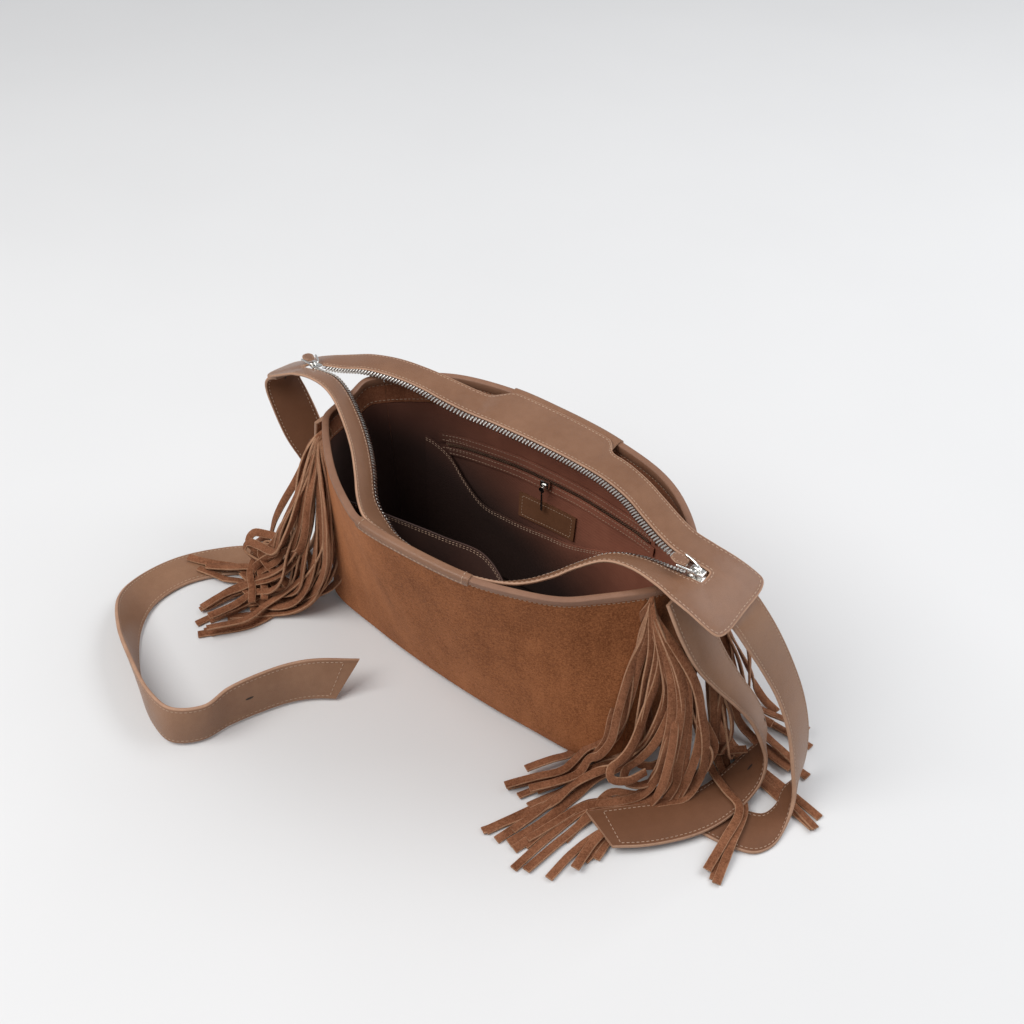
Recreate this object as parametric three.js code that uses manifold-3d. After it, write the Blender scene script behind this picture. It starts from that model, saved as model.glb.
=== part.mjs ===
// Fringed suede shoulder bag, open, standing on its base. Millimetres, +Z up.
// Origin: centre of the base on the floor. +X runs along the bag, +Y goes from the front panel to the back panel.
import * as THREE from "three";
import { mergeVertices } from "three/addons/utils/BufferGeometryUtils.js";
import Module from "manifold-3d";

// ---------------------------------------------------------------- driving dimensions
const SUEDE = 1.6; // thickness of the outer panels
const LINING = 1.2; // thickness of the lining and of the inner pockets
const SEAM_GAP = 0.6; // clear space between neighbouring pieces
const BASE_ROUND = 11; // radius where a wall turns under to the base
const STRAP_THICK = 3.4; // two layers of leather, edges painted
const BAND_THICK = 2.2; // smooth leather of the zip band
const BINDING_LEG = 6; // how far a binding reaches down each side of a panel
const FACING_DEPTH = 24; // suede facing inside the mouth
const LEATHER_SHARE = 0.78; // part of each half of the zip band that is leather; the rest is tape and teeth
const LINING_LAYER = SUEDE / 2 + SEAM_GAP + LINING / 2; // depth of the lining's middle behind the suede's middle

// The base's outline and the mouth's edge, each in four runs that share their end points:
// front (left to right), right end, back (right to left), left end.
const BASE_RUNS = [
  [[-153, -41, 0], [-94, -55, 0], [-20, -64, 0], [60, -67, 0], [148, -60, 0]],
  [[148, -60, 0], [159, -42, 0], [161, 0, 0], [158, 36, 0], [146, 51, 0]],
  [[146, 51, 0], [80, 54, 0], [0, 55, 0], [-80, 52, 0], [-148, 46, 0]],
  [[-148, 46, 0], [-159, 32, 0], [-162, 4, 0], [-161, -26, 0], [-153, -41, 0]],
];
const MOUTH_RUNS = [
  [[-152, -33, 180], [-131, -54, 181], [-105, -76, 183], [-76, -95, 185], [-54, -106, 187], [-4, -110, 187.5],
    [47, -107, 186.5], [73, -99, 184.5], [107, -84, 183], [127, -65, 182], [152, -36, 181]],
  [[152, -36, 181], [157, -18, 178], [157, 4, 178], [150, 22, 181]],
  [[150, 22, 181], [124, 48, 185.5], [95, 65, 187.5], [43, 78, 188.5], [-10, 83, 188.5], [-54, 83, 188.5],
    [-101, 75, 187], [-127, 61, 186.5], [-150, 37, 189]],
  [[-150, 37, 189], [-160.5, 26, 187], [-165, 14, 179.5], [-166, -2, 177.5], [-162, -20, 179], [-152, -33, 180]],
];
const WALLS = ["front", "right", "back", "left"];

// ---------------------------------------------------------------- finishes
const finish = (color, roughness, metalness = 0) => new THREE.MeshStandardMaterial({ color, roughness, metalness });
const SUEDE_BROWN = finish(0x7b4524, 0.95);
const LEATHER_TAUPE = finish(0x8a6650, 0.5);
const LINING_BROWN = finish(0x3d231c, 0.85);
const TAPE_BROWN = finish(0x3a2620, 0.8);
const NICKEL = finish(0xc9c9c6, 0.25, 1);
const BOARD_GREY = finish(0x55504a, 0.9);

const bag = new THREE.Group();
bag.name = "fringed_suede_bag";

function add(name, geometry, material, parent = bag) {
  const mesh = new THREE.Mesh(geometry, material);
  mesh.name = name;
  parent.add(mesh);
  return mesh;
}

// ---------------------------------------------------------------- curves and sheets
const vec = (p) => new THREE.Vector3(...p);
const spline = (points, closed = false) => new THREE.CatmullRomCurve3(points.map(vec), closed, "centripetal");

// One closed curve through four runs. at(wall, u) gives the point a share u of the length along that wall.
function runCurve(runs) {
  const points = runs.flatMap((run) => run.slice(0, -1));
  const curve = spline(points, true);
  const starts = [];
  let count = 0;
  for (const run of runs) {
    starts.push(count / points.length);
    count += run.length - 1;
  }
  starts.push(1);
  const at = (wall, u) => {
    const whole = Math.floor(u);
    const w = (((wall + whole) % 4) + 4) % 4;
    const t = THREE.MathUtils.lerp(starts[w], starts[w + 1], u - whole);
    return curve.getPoint(t % 1);
  };
  return { at };
}
const baseCurve = runCurve(BASE_RUNS);
const mouthCurve = runCurve(MOUTH_RUNS);

// A point of the suede's middle surface: h runs from 0 at the foot of the wall to 1 at the mouth.
function wallPoint(wall, u, h) {
  const foot = baseCurve.at(wall, u);
  const top = mouthCurve.at(wall, u);
  const side = baseCurve.at(wall, u + 0.01).sub(baseCurve.at(wall, u - 0.01)).normalize();
  const out = new THREE.Vector3(side.y, -side.x, 0);
  const turn = Math.min(h / 0.08, 1) * Math.PI * 0.5; // the foot turns under in a quarter round
  const rise = Math.max((h - 0.08) / 0.92, 0);
  const p = foot.lerp(top, rise);
  const round = BASE_ROUND - 1.5;
  if (rise === 0) {
    p.addScaledVector(out, -round * (1 - Math.sin(turn)));
    p.z = 1.5 + round * (1 - Math.cos(turn));
  } else {
    p.z = THREE.MathUtils.lerp(1.5 + round, top.z, rise);
  }
  return p;
}

function wallNormal(wall, u, h) {
  const step = 0.004;
  const along = wallPoint(wall, u + step, h).sub(wallPoint(wall, u - step, h));
  const up = wallPoint(wall, u, Math.min(h + step, 1)).sub(wallPoint(wall, u, Math.max(h - step, 0)));
  return along.cross(up).normalize();
}

const wallAt = (wall, u, h, depth) => wallPoint(wall, u, h).addScaledVector(wallNormal(wall, u, h), -depth);

// Closes two matching grids of points into one solid. ring joins the last column to the first.
function solidFromGrids(outer, inner, ring = false) {
  const columns = outer.length;
  const rows = outer[0].length;
  const positions = [...outer, ...inner].flatMap((column) => column.flatMap((p) => [p.x, p.y, p.z]));
  const index = [];
  const id = (side, i, j) => (side * columns + (i % columns)) * rows + j;
  const quad = (a, b, c, d) => index.push(a, b, c, a, c, d);
  const last = ring ? columns : columns - 1;
  for (let i = 0; i < last; i++) {
    for (let j = 0; j < rows - 1; j++) {
      quad(id(0, i, j), id(0, i + 1, j), id(0, i + 1, j + 1), id(0, i, j + 1));
      quad(id(1, i, j), id(1, i, j + 1), id(1, i + 1, j + 1), id(1, i + 1, j));
    }
    quad(id(0, i, 0), id(1, i, 0), id(1, i + 1, 0), id(0, i + 1, 0));
    quad(id(0, i, rows - 1), id(0, i + 1, rows - 1), id(1, i + 1, rows - 1), id(1, i, rows - 1));
  }
  if (!ring) {
    for (let j = 0; j < rows - 1; j++) {
      quad(id(0, 0, j), id(0, 0, j + 1), id(1, 0, j + 1), id(1, 0, j));
      const e = columns - 1;
      quad(id(0, e, j), id(1, e, j), id(1, e, j + 1), id(0, e, j + 1));
    }
  }
  const geometry = new THREE.BufferGeometry();
  geometry.setAttribute("position", new THREE.Float32BufferAttribute(positions, 3));
  geometry.setIndex(index);
  return geometry.toNonIndexed();
}

// A sheet that follows a wall, between depths near and far behind the suede's middle.
function wallSheet(wall, shares, heights, near, far) {
  const grid = (depth) =>
    shares.map((u) => heights.map((h) => wallAt(wall, u, typeof h === "function" ? h(u) : h, depth)));
  return solidFromGrids(grid(near), grid(far));
}
const between = (a, b, steps) => Array.from({ length: steps + 1 }, (_, i) => THREE.MathUtils.lerp(a, b, i / steps));

// A thick ribbon between two matching lists of points, its thickness split each side of the middle.
function ribbon(nearEdge, farEdge, thick, rows = 2, ring = false) {
  const columns = nearEdge.length;
  const middle = nearEdge.map((p, i) =>
    Array.from({ length: rows }, (_, j) => p.clone().lerp(farEdge[i], j / (rows - 1))),
  );
  const normalAt = (i, j) => {
    const before = ring ? middle[(i + columns - 1) % columns] : middle[Math.max(i - 1, 0)];
    const after = ring ? middle[(i + 1) % columns] : middle[Math.min(i + 1, columns - 1)];
    const across = farEdge[i].clone().sub(nearEdge[i]);
    return after[j].clone().sub(before[j]).cross(across).normalize();
  };
  const side = (offset) =>
    middle.map((column, i) => column.map((p, j) => p.clone().addScaledVector(normalAt(i, j), offset)));
  return solidFromGrids(side(thick / 2), side(-thick / 2), ring);
}

// Splits sections of [edge point, width vector] into evenly spaced points on both edges.
function edgesOf(sections, columns) {
  const near = spline(sections.map(([p]) => p));
  const far = spline(sections.map(([p, w]) => p.map((v, k) => v + w[k])));
  return [near.getPoints(columns), far.getPoints(columns)];
}

// ---------------------------------------------------------------- suede shell, lining, facing
// Places along each wall, from seam to seam. The bindings leave out the first and the last.
function wallShares(wall) {
  const [edge, trim, steps] = wall % 2 ? [0.014, 0.06, 6] : [0.004, 0.01, 20];
  const middle = Array.from({ length: steps + 1 }, (_, i) => THREE.MathUtils.lerp(trim, 1 - trim, i / steps));
  return [edge, ...middle, 1 - edge];
}
const FACING_START = 1 - FACING_DEPTH / 185;
const TOP = 0.985; // walls stop just under the binding's fold
const WALL_ROWS = [0, 0.04, 0.08, 0.36, 0.62, FACING_START - 0.005];
const FACING_ROWS = [FACING_START, TOP];

WALLS.forEach((wall, w) => {
  const shares = wallShares(w);
  const label = w % 2 ? `${wall}_gusset` : `${wall}_panel`;
  add(label, wallSheet(w, shares, [...WALL_ROWS, ...FACING_ROWS], -SUEDE / 2, SUEDE / 2), SUEDE_BROWN);
  const near = LINING_LAYER - LINING / 2;
  const far = LINING_LAYER + LINING / 2;
  add(`${wall}_lining`, wallSheet(w, shares, WALL_ROWS, near, far), LINING_BROWN);
  add(`${wall}_facing`, wallSheet(w, shares, FACING_ROWS, near, far), SUEDE_BROWN);
});

// Flat plate inside the foot of the walls, inset from the base's outline.
function basePlate(inset, z0, z1) {
  const shape = new THREE.Shape();
  const steps = 14;
  for (let w = 0; w < 4; w++) {
    for (let i = 0; i < steps; i++) {
      const u = i / steps;
      const side = baseCurve.at(w, u + 0.01).sub(baseCurve.at(w, u - 0.01)).normalize();
      const p = baseCurve.at(w, u).addScaledVector(new THREE.Vector3(side.y, -side.x, 0), -inset);
      if (w + i === 0) shape.moveTo(p.x, p.y);
      else shape.lineTo(p.x, p.y);
    }
  }
  shape.closePath();
  const geometry = new THREE.ExtrudeGeometry(shape, { depth: z1 - z0, bevelEnabled: false });
  return geometry.translate(0, 0, z0);
}
add("base_panel", basePlate(BASE_ROUND - 0.5, 0, 2.4), SUEDE_BROWN);
add("base_board", basePlate(BASE_ROUND + 1, 2.9, 4.9), BOARD_GREY);
add("base_lining", basePlate(BASE_ROUND + 1, 5.3, 6.4), LINING_BROWN);

// ---------------------------------------------------------------- bindings over the mouth's raw edges
// A folded leather strip: an upside-down U around suede and facing.
function binding(wall) {
  const inside = LINING_LAYER + LINING / 2 + 0.5;
  const outside = -SUEDE / 2 - 0.5;
  const skin = 1;
  const legs = BINDING_LEG;
  const section = [
    [outside - skin, -legs], [outside - skin, 1.6], [inside + skin, 1.6], [inside + skin, -legs],
    [inside, -legs], [inside, -0.4], [outside, -0.4], [outside, -legs],
  ];
  const rings = wallShares(wall).slice(1, -1).map((u) => {
    const p = mouthCurve.at(wall, u);
    const side = mouthCurve.at(wall, u + 0.005).sub(mouthCurve.at(wall, u - 0.005)).setZ(0).normalize();
    const inward = new THREE.Vector3(-side.y, side.x, 0);
    const lean = wallPoint(wall, u, 1).sub(wallPoint(wall, u, 0.9)).normalize();
    return section.map(([x, z]) => p.clone().addScaledVector(inward, x).addScaledVector(lean, z));
  });
  return sweep(rings);
}

// Skins a list of matching closed outlines and caps both ends.
function sweep(rings) {
  const n = rings[0].length;
  const positions = rings.flatMap((ring) => ring.flatMap((p) => [p.x, p.y, p.z]));
  const index = [];
  for (let i = 0; i < rings.length - 1; i++) {
    for (let j = 0; j < n; j++) {
      const k = (j + 1) % n;
      index.push(i * n + j, (i + 1) * n + k, (i + 1) * n + j, i * n + j, i * n + k, (i + 1) * n + k);
    }
  }
  for (const [start, flip] of [[0, false], [(rings.length - 1) * n, true]]) {
    for (const [a, b, c] of capTriangles(rings[start / n])) {
      index.push(start + a, start + (flip ? b : c), start + (flip ? c : b));
    }
  }
  const geometry = new THREE.BufferGeometry();
  geometry.setAttribute("position", new THREE.Float32BufferAttribute(positions, 3));
  geometry.setIndex(index);
  return facingOut(geometry).toNonIndexed();
}

// Triangles of a flat outline in space, found in its own plane.
function capTriangles(ring) {
  const origin = ring[0];
  const normal = new THREE.Vector3();
  ring.forEach((p, i) => normal.add(p.clone().sub(origin).cross(ring[(i + 1) % ring.length].clone().sub(origin))));
  normal.normalize();
  const x = ring[1].clone().sub(origin).normalize();
  const y = normal.clone().cross(x);
  const flat = ring.map((p) => new THREE.Vector2(p.clone().sub(origin).dot(x), p.clone().sub(origin).dot(y)));
  return THREE.ShapeUtils.triangulateShape(flat, []);
}

// Turns a closed mesh right side out by the sign of its volume.
function facingOut(geometry) {
  const p = geometry.getAttribute("position");
  const index = geometry.getIndex().array;
  const corner = (k) => new THREE.Vector3().fromBufferAttribute(p, k);
  let volume = 0;
  for (let i = 0; i < index.length; i += 3) {
    volume += corner(index[i]).dot(corner(index[i + 1]).cross(corner(index[i + 2])));
  }
  if (volume < 0) {
    for (let i = 0; i < index.length; i += 3) [index[i], index[i + 1]] = [index[i + 1], index[i]];
  }
  return geometry;
}

WALLS.forEach((wall, w) => {
  add(`${wall}_binding`, binding(w), LEATHER_TAUPE);
});

// ---------------------------------------------------------------- zip band
// Sections across each half of the band: [free edge, vector from there to the teeth].
const FRONT_STRIP = [
  [[-206, -10, 195], [-3, 26, -10]],
  [[-190, -10, 199], [-4, 27, -12]],
  [[-175, -10, 198], [-7, 26, -12]],
  [[-159, -15, 196], [-8, 26, -13]],
  [[-131, -33, 193], [-6, 26, -14]],
  [[-109, -50, 190], [-5, 26, -14]],
  [[-89, -68, 188], [-4, 25, -16]],
  [[-70, -86, 184], [-2, 23, -19]],
  [[-40, -95, 177], [0, 19, -23]],
  [[0, -96, 175], [0, 18, -24]],
  [[42, -94, 176], [-4, 19, -23]],
  [[72, -84, 179], [-10, 21, -19]],
  [[88, -68, 181.5], [-12, 21, -18]],
  [[98, -54, 185], [-12, 21, -18]],
  [[113, -41, 190], [-9, 24, -15]],
  [[132, -39, 193], [-5, 27, -12]],
  [[157, -44, 194], [-2, 29, -6]],
  [[170, -48, 193], [0, 30, 0]],
];
const BACK_STRIP = [
  [[172, 12, 197], [-1, -29, -2]],
  [[152, 14, 199], [-1, -30, -2]],
  [[137, 20, 200], [-2, -30, -3]],
  [[118, 30, 200], [-3, -30, -3]],
  [[98, 41, 199], [-4, -29, -3]],
  [[72, 51, 198], [-3, -30, -3]],
  [[40, 58, 195], [0, -30, -3]],
  [[0, 61, 195], [0, -30, -4]],
  [[-40, 60, 196], [1, -30, -4]],
  [[-66, 57, 198], [4, -29, -5]],
  [[-86, 55, 200], [6, -29, -4]],
  [[-116, 55, 200], [8, -28, -2]],
  [[-147, 55, 197], [11, -28, 0]],
  [[-174, 52, 192], [12, -27, 2]],
  [[-192, 49, 186], [8, -27, 2]],
  [[-209, 46, 180], [1, -27, 4]],
];
// Outer corners of the two end tabs and the window's end corners.
const RIGHT_TAB = { front: [208, -49, 180.5], back: [209, 10, 187.5] };
const LEFT_TAB = { front: [-236, -9, 179], back: [-240, 40, 165] };

function leatherEdge([p, w]) {
  return p.map((v, k) => v + w[k] * LEATHER_SHARE);
}

function bandEdges() {
  const outer = [];
  const window = [];
  const run = (strip, columns) => {
    const [free] = edgesOf(strip, columns);
    const inner = spline(strip.map(leatherEdge));
    free.forEach((p, i) => {
      outer.push(p);
      window.push(inner.getPoint(i / columns));
    });
  };
  const corner = (p, w) => {
    outer.push(vec(p));
    window.push(vec(w));
  };
  run(FRONT_STRIP, 30);
  const frontEnd = leatherEdge(FRONT_STRIP.at(-1));
  const backStart = leatherEdge(BACK_STRIP[0]);
  corner([200, -50.5, 183.5], [178, frontEnd[1], frontEnd[2]]);
  corner(RIGHT_TAB.front, [179, frontEnd[1] + 0.5, frontEnd[2] - 0.3]);
  corner([211, -43, 181], [179.5, frontEnd[1] + 3, frontEnd[2]]);
  corner([212, -19, 183], [179.5, (frontEnd[1] + backStart[1]) / 2, 194.3]);
  corner([212, 3, 185.5], [179.5, backStart[1] - 3, 195]);
  corner(RIGHT_TAB.back, [179, backStart[1] - 0.5, 195]);
  corner([201, 11.5, 190.5], [178, backStart[1], backStart[2]]);
  run(BACK_STRIP, 30);
  const backEnd = leatherEdge(BACK_STRIP.at(-1));
  const frontStart = leatherEdge(FRONT_STRIP[0]);
  corner([-228, 43, 172], [-210, backEnd[1], backEnd[2]]);
  corner(LEFT_TAB.back, [-213, backEnd[1] - 0.5, backEnd[2] - 0.5]);
  corner([-244, 30, 167], [-214, backEnd[1] - 2, backEnd[2]]);
  corner([-244, 13, 171], [-214, (backEnd[1] + frontStart[1]) / 2, 185]);
  corner([-241, -3, 176], [-214, frontStart[1] + 2, frontStart[2] - 1]);
  corner(LEFT_TAB.front, [-213, frontStart[1] + 0.5, frontStart[2] - 0.5]);
  corner([-224, -11, 186], [-210, frontStart[1], frontStart[2]]);
  return [outer, window];
}
const [bandOuter, bandWindow] = bandEdges();
add("zip_band", ribbon(bandOuter, bandWindow, BAND_THICK, 3, true), LEATHER_TAUPE);

// Tongues that carry the band on the two long panels: sewn inside the mouth at one edge, to the band at the other.
function placeAtX(curve, x) {
  let [low, high] = [0, 1];
  const rising = curve(1).x > curve(0).x;
  for (let k = 0; k < 30; k++) {
    const middle = (low + high) / 2;
    if (curve(middle).x < x === rising) low = middle;
    else high = middle;
  }
  return (low + high) / 2;
}

function tongue(strip, wall, [x0, x1]) {
  const free = spline(strip.map(([p]) => p));
  const panel = [];
  const band = [];
  for (const x of between(x0, x1, 12)) {
    const u = placeAtX((t) => mouthCurve.at(wall, t * 0.999), x);
    const along = mouthCurve.at(wall, u + 0.005).sub(mouthCurve.at(wall, u - 0.005)).setZ(0).normalize();
    const inward = new THREE.Vector3(-along.y, along.x, 0);
    const edge = mouthCurve.at(wall, u).addScaledVector(inward, 6.5).add(new THREE.Vector3(0, 0, 0.5));
    panel.push(edge);
    band.push(free.getPoint(placeAtX((t) => free.getPoint(t), x)).lerp(edge, 0.16));
  }
  return ribbon(panel, band, 1.6, 3);
}
add("front_tongue", tongue(FRONT_STRIP, 0, [-53, 47]), LEATHER_TAUPE);
add("back_tongue", tongue(BACK_STRIP, 2, [52, -52]), LEATHER_TAUPE);

// Tape under the leather's edge and the chain of teeth along the tape, drawn here as a plain bead.
function stripPart(strip, [from, to], thick, drop, columns) {
  const at = (share) => spline(strip.map(([p, w]) => p.map((v, k) => v + w[k] * share)));
  const [a, b] = [at(from), at(to)];
  const pairs = between(0.05, 0.95, columns).map((t) => {
    const [p, q] = [a.getPoint(t), b.getPoint(t)];
    const under = a.getTangent(t).cross(q.clone().sub(p)).normalize().multiplyScalar(-drop);
    return [p.add(under), q.add(under)];
  });
  return ribbon(pairs.map(([p]) => p), pairs.map(([, q]) => q), thick, 2);
}
add("front_zip_tape", stripPart(FRONT_STRIP, [0.6, 0.9], 0.7, 2.2, 30), TAPE_BROWN);
add("back_zip_tape", stripPart(BACK_STRIP, [0.6, 0.9], 0.7, 2.2, 30), TAPE_BROWN);
add("front_zip_teeth", stripPart(FRONT_STRIP, [0.92, 1.0], 2.2, 1.6, 30), NICKEL);
add("back_zip_teeth", stripPart(BACK_STRIP, [0.92, 1.0], 2.2, 1.6, 30), NICKEL);

// ---------------------------------------------------------------- solids joined from simpler ones
const wasm = await Module();
wasm.setup();

function join(geometries) {
  const solids = geometries.map((geometry) => {
    const bare = geometry.index ? geometry.toNonIndexed() : geometry.clone();
    bare.deleteAttribute("normal");
    bare.deleteAttribute("uv");
    const merged = mergeVertices(bare, 1e-4);
    return new wasm.Manifold(
      new wasm.Mesh({
        numProp: 3,
        vertProperties: new Float32Array(merged.getAttribute("position").array),
        triVerts: new Uint32Array(merged.getIndex().array),
      }),
    );
  });
  const mesh = solids.reduce((all, one) => all.add(one)).getMesh();
  const geometry = new THREE.BufferGeometry();
  geometry.setAttribute("position", new THREE.Float32BufferAttribute(mesh.vertProperties, 3));
  geometry.setIndex(Array.from(mesh.triVerts));
  return geometry;
}

const block = (x, y, z, cx, cy, cz) => new THREE.BoxGeometry(x, y, z).translate(cx, cy, cz);

// ---------------------------------------------------------------- zip sliders and their pulls
const SLIDER = { length: 11, front: 9, back: 6.5, plate: 1.5, channel: 3.4 };
const BAIL = { wire: 1.7, arm: 13, root: 8, tip: 12.5 };

// Slider along +X, its wide end (where the two rows of teeth come in) at +X, its bridge on top.
function sliderBody() {
  const { length, front, back, plate, channel } = SLIDER;
  const outline = new THREE.Shape();
  outline.moveTo(length / 2, front / 2);
  outline.lineTo(-length / 6, front / 2);
  outline.lineTo(-length / 2, back / 2);
  outline.lineTo(-length / 2, -back / 2);
  outline.lineTo(-length / 6, -front / 2);
  outline.lineTo(length / 2, -front / 2);
  outline.closePath();
  const half = plate + channel / 2;
  const plateAt = (z) => new THREE.ExtrudeGeometry(outline, { depth: plate, bevelEnabled: false }).translate(0, 0, z);
  return join([
    plateAt(channel / 2),
    plateAt(-half),
    block(3, 2.4, channel + plate, length / 2 - 2, 0, 0), // post between the plates
    block(1.6, 2.6, 2.2, length / 2 - 2.4, 0, half + 1),
    block(1.6, 2.6, 2.2, -length / 2 + 2.4, 0, half + 1),
    block(length - 3.2, 2.6, 1.2, 0, 0, half + 2.6),
  ]);
}

// Wire bail: two splayed arms from a cross wire that passes under the bridge. Arms lie along -X.
function bailGeometry() {
  const { wire, arm, root, tip } = BAIL;
  const path = spline([
    [-arm, -tip / 2, 0.6], [-arm * 0.55, -root / 2 - 1.2, 0.5], [-3, -root / 2, 0], [-0.6, -root / 2 + 1, 0],
    [0, -root / 2 + 2.4, 0], [0, root / 2 - 2.4, 0], [-0.6, root / 2 - 1, 0], [-3, root / 2, 0],
    [-arm * 0.55, root / 2 + 1.2, 0.5], [-arm, tip / 2, 0.6],
  ]);
  const round = new THREE.Shape().absellipse(0, 0, wire / 2, wire / 2, 0, Math.PI * 2);
  return new THREE.ExtrudeGeometry(round, { steps: 18, curveSegments: 3, extrudePath: path });
}

// Leather finger tab that the bail's arms hold by its two sides.
function pullTabGeometry() {
  const half = BAIL.tip / 2 - BAIL.wire / 2 - 0.5;
  const outline = new THREE.Shape();
  outline.moveTo(-8, -half + 1.5);
  outline.lineTo(-BAIL.arm - 2, -half);
  outline.lineTo(-BAIL.arm - 7, -half + 2);
  outline.lineTo(-BAIL.arm - 7, half - 2);
  outline.lineTo(-BAIL.arm - 2, half);
  outline.lineTo(-8, half - 1.5);
  outline.closePath();
  return new THREE.ExtrudeGeometry(outline, { depth: 1.8, bevelEnabled: false }).translate(0, 0, -0.4);
}

// A slider at one end of the chain: turn points its wide end along the chain, lift raises the pull from the band.
function addSlider(side, place, turn, tilt, lift, pullTurn) {
  const group = new THREE.Group();
  group.position.set(...place);
  group.rotation.set(0, tilt, turn, "ZYX");
  bag.add(group);
  add(`${side}_slider`, sliderBody(), NICKEL, group);
  const pull = new THREE.Group();
  pull.position.set(0, 0, SLIDER.plate + SLIDER.channel / 2 + 1.0);
  pull.rotation.set(0, lift, pullTurn, "ZYX");
  group.add(pull);
  add(`${side}_pull_bail`, bailGeometry(), NICKEL, pull);
  add(`${side}_pull_tab`, pullTabGeometry(), LEATHER_TAUPE, pull);
}
addSlider("right", [172.5, -17.6, 193.4], Math.PI, 0, 0.12, Math.PI);
addSlider("left", [-206.5, 18, 184.5], -0.42, -0.3, 0.1, 0);

// ---------------------------------------------------------------- inside: pockets, patch and the back wall's zip
const POCKET_DEPTH = LINING_LAYER + LINING / 2 + SEAM_GAP; // first surface inside the lining
// A share of the back wall's length for a place x along the bag, and a share of its height for z.
const backU = (x) => placeAtX((t) => wallPoint(2, t * 0.999, 0.6), x);
const wallH = (z) => 0.08 + (0.92 * (z - 11)) / 177;
// The back pocket's mouth: [place along the bag, height], steep at the left and gentle at the right.
const BACK_POCKET_MOUTH = [[-124, 131], [-117, 128], [-102.5, 117], [-88, 96], [-70, 80], [-44, 77], [-7, 78.5],
  [22, 81], [66, 96], [103, 112], [122, 121]];
function scoop(x) {
  const after = BACK_POCKET_MOUTH.findIndex(([place]) => place >= x);
  if (after <= 0) return BACK_POCKET_MOUTH.at(after)[1];
  const [[x0, z0], [x1, z1]] = BACK_POCKET_MOUTH.slice(after - 1, after + 1);
  return z0 + ((z1 - z0) * (x - x0)) / (x1 - x0);
}
const pocketMouth = (u) => wallH(scoop(wallPoint(2, u, 0.6).x));
add("back_slip_pocket",
  wallSheet(2, between(backU(118), backU(-124), 24), [0.1, 0.22, (u) => pocketMouth(u) * 0.7, pocketMouth],
    POCKET_DEPTH + 0.4, POCKET_DEPTH + 0.4 + LINING), LINING_BROWN);
const onBack = (x0, x1, z0, z1, near, far, columns) =>
  wallSheet(2, between(backU(x1), backU(x0), columns), [wallH(z0), wallH(z1)], near, far);
add("leather_patch", onBack(-35, 22, 82, 104, POCKET_DEPTH, POCKET_DEPTH + 1.6, 6), LEATHER_TAUPE);
add("pocket_zip_tape", onBack(-106, 95, 120, 132, POCKET_DEPTH, POCKET_DEPTH + 0.8, 12), TAPE_BROWN);
add("pocket_zip_teeth", onBack(-104, 93, 124.6, 127.4, POCKET_DEPTH + 1.1, POCKET_DEPTH + 2.1, 12), NICKEL);

const pocketSlider = new THREE.Group();
const POCKET_SLIDER_AT = wallAt(2, backU(-8), wallH(124), POCKET_DEPTH + 4.6);
pocketSlider.position.copy(POCKET_SLIDER_AT);
bag.add(pocketSlider);
add("pocket_slider", join([block(9, 3, 7, 0, 0, 0), block(5, 2.4, 3, 0, -2.2, 0)]), NICKEL, pocketSlider);
const pullOutline = new THREE.Shape();
pullOutline.absarc(0, -1.6, 3.2, 0.15 * Math.PI, 0.85 * Math.PI);
pullOutline.lineTo(-1.9, -22);
pullOutline.absarc(0, -22, 1.9, Math.PI, 2 * Math.PI);
pullOutline.closePath();
const pocketPull = new THREE.ExtrudeGeometry(pullOutline, { depth: 1.4, bevelEnabled: false, curveSegments: 6 });
add("pocket_pull", pocketPull.rotateX(Math.PI / 2).translate(0, -3.9, -1.5), NICKEL, pocketSlider);

// The front slip pocket stands open: its mouth hangs away from the front lining.
const FRONT_POCKET_FOOT = [[-112, -44, 30], [-60, -52, 30], [0, -56, 30], [60, -56, 30], [104, -48, 30]];
const FRONT_POCKET_MOUTH = [[-118, -52, 136], [-72, -50, 141], [-26, -44, 140], [8, -40, 138], [36, -50, 128],
  [58, -60, 106], [106, -60, 84]];
{
  const [foot, mouth] = [FRONT_POCKET_FOOT, FRONT_POCKET_MOUTH].map((points) => spline(points).getPoints(20));
  add("front_slip_pocket", ribbon(foot, mouth, LINING, 4), LINING_BROWN);
}

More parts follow.
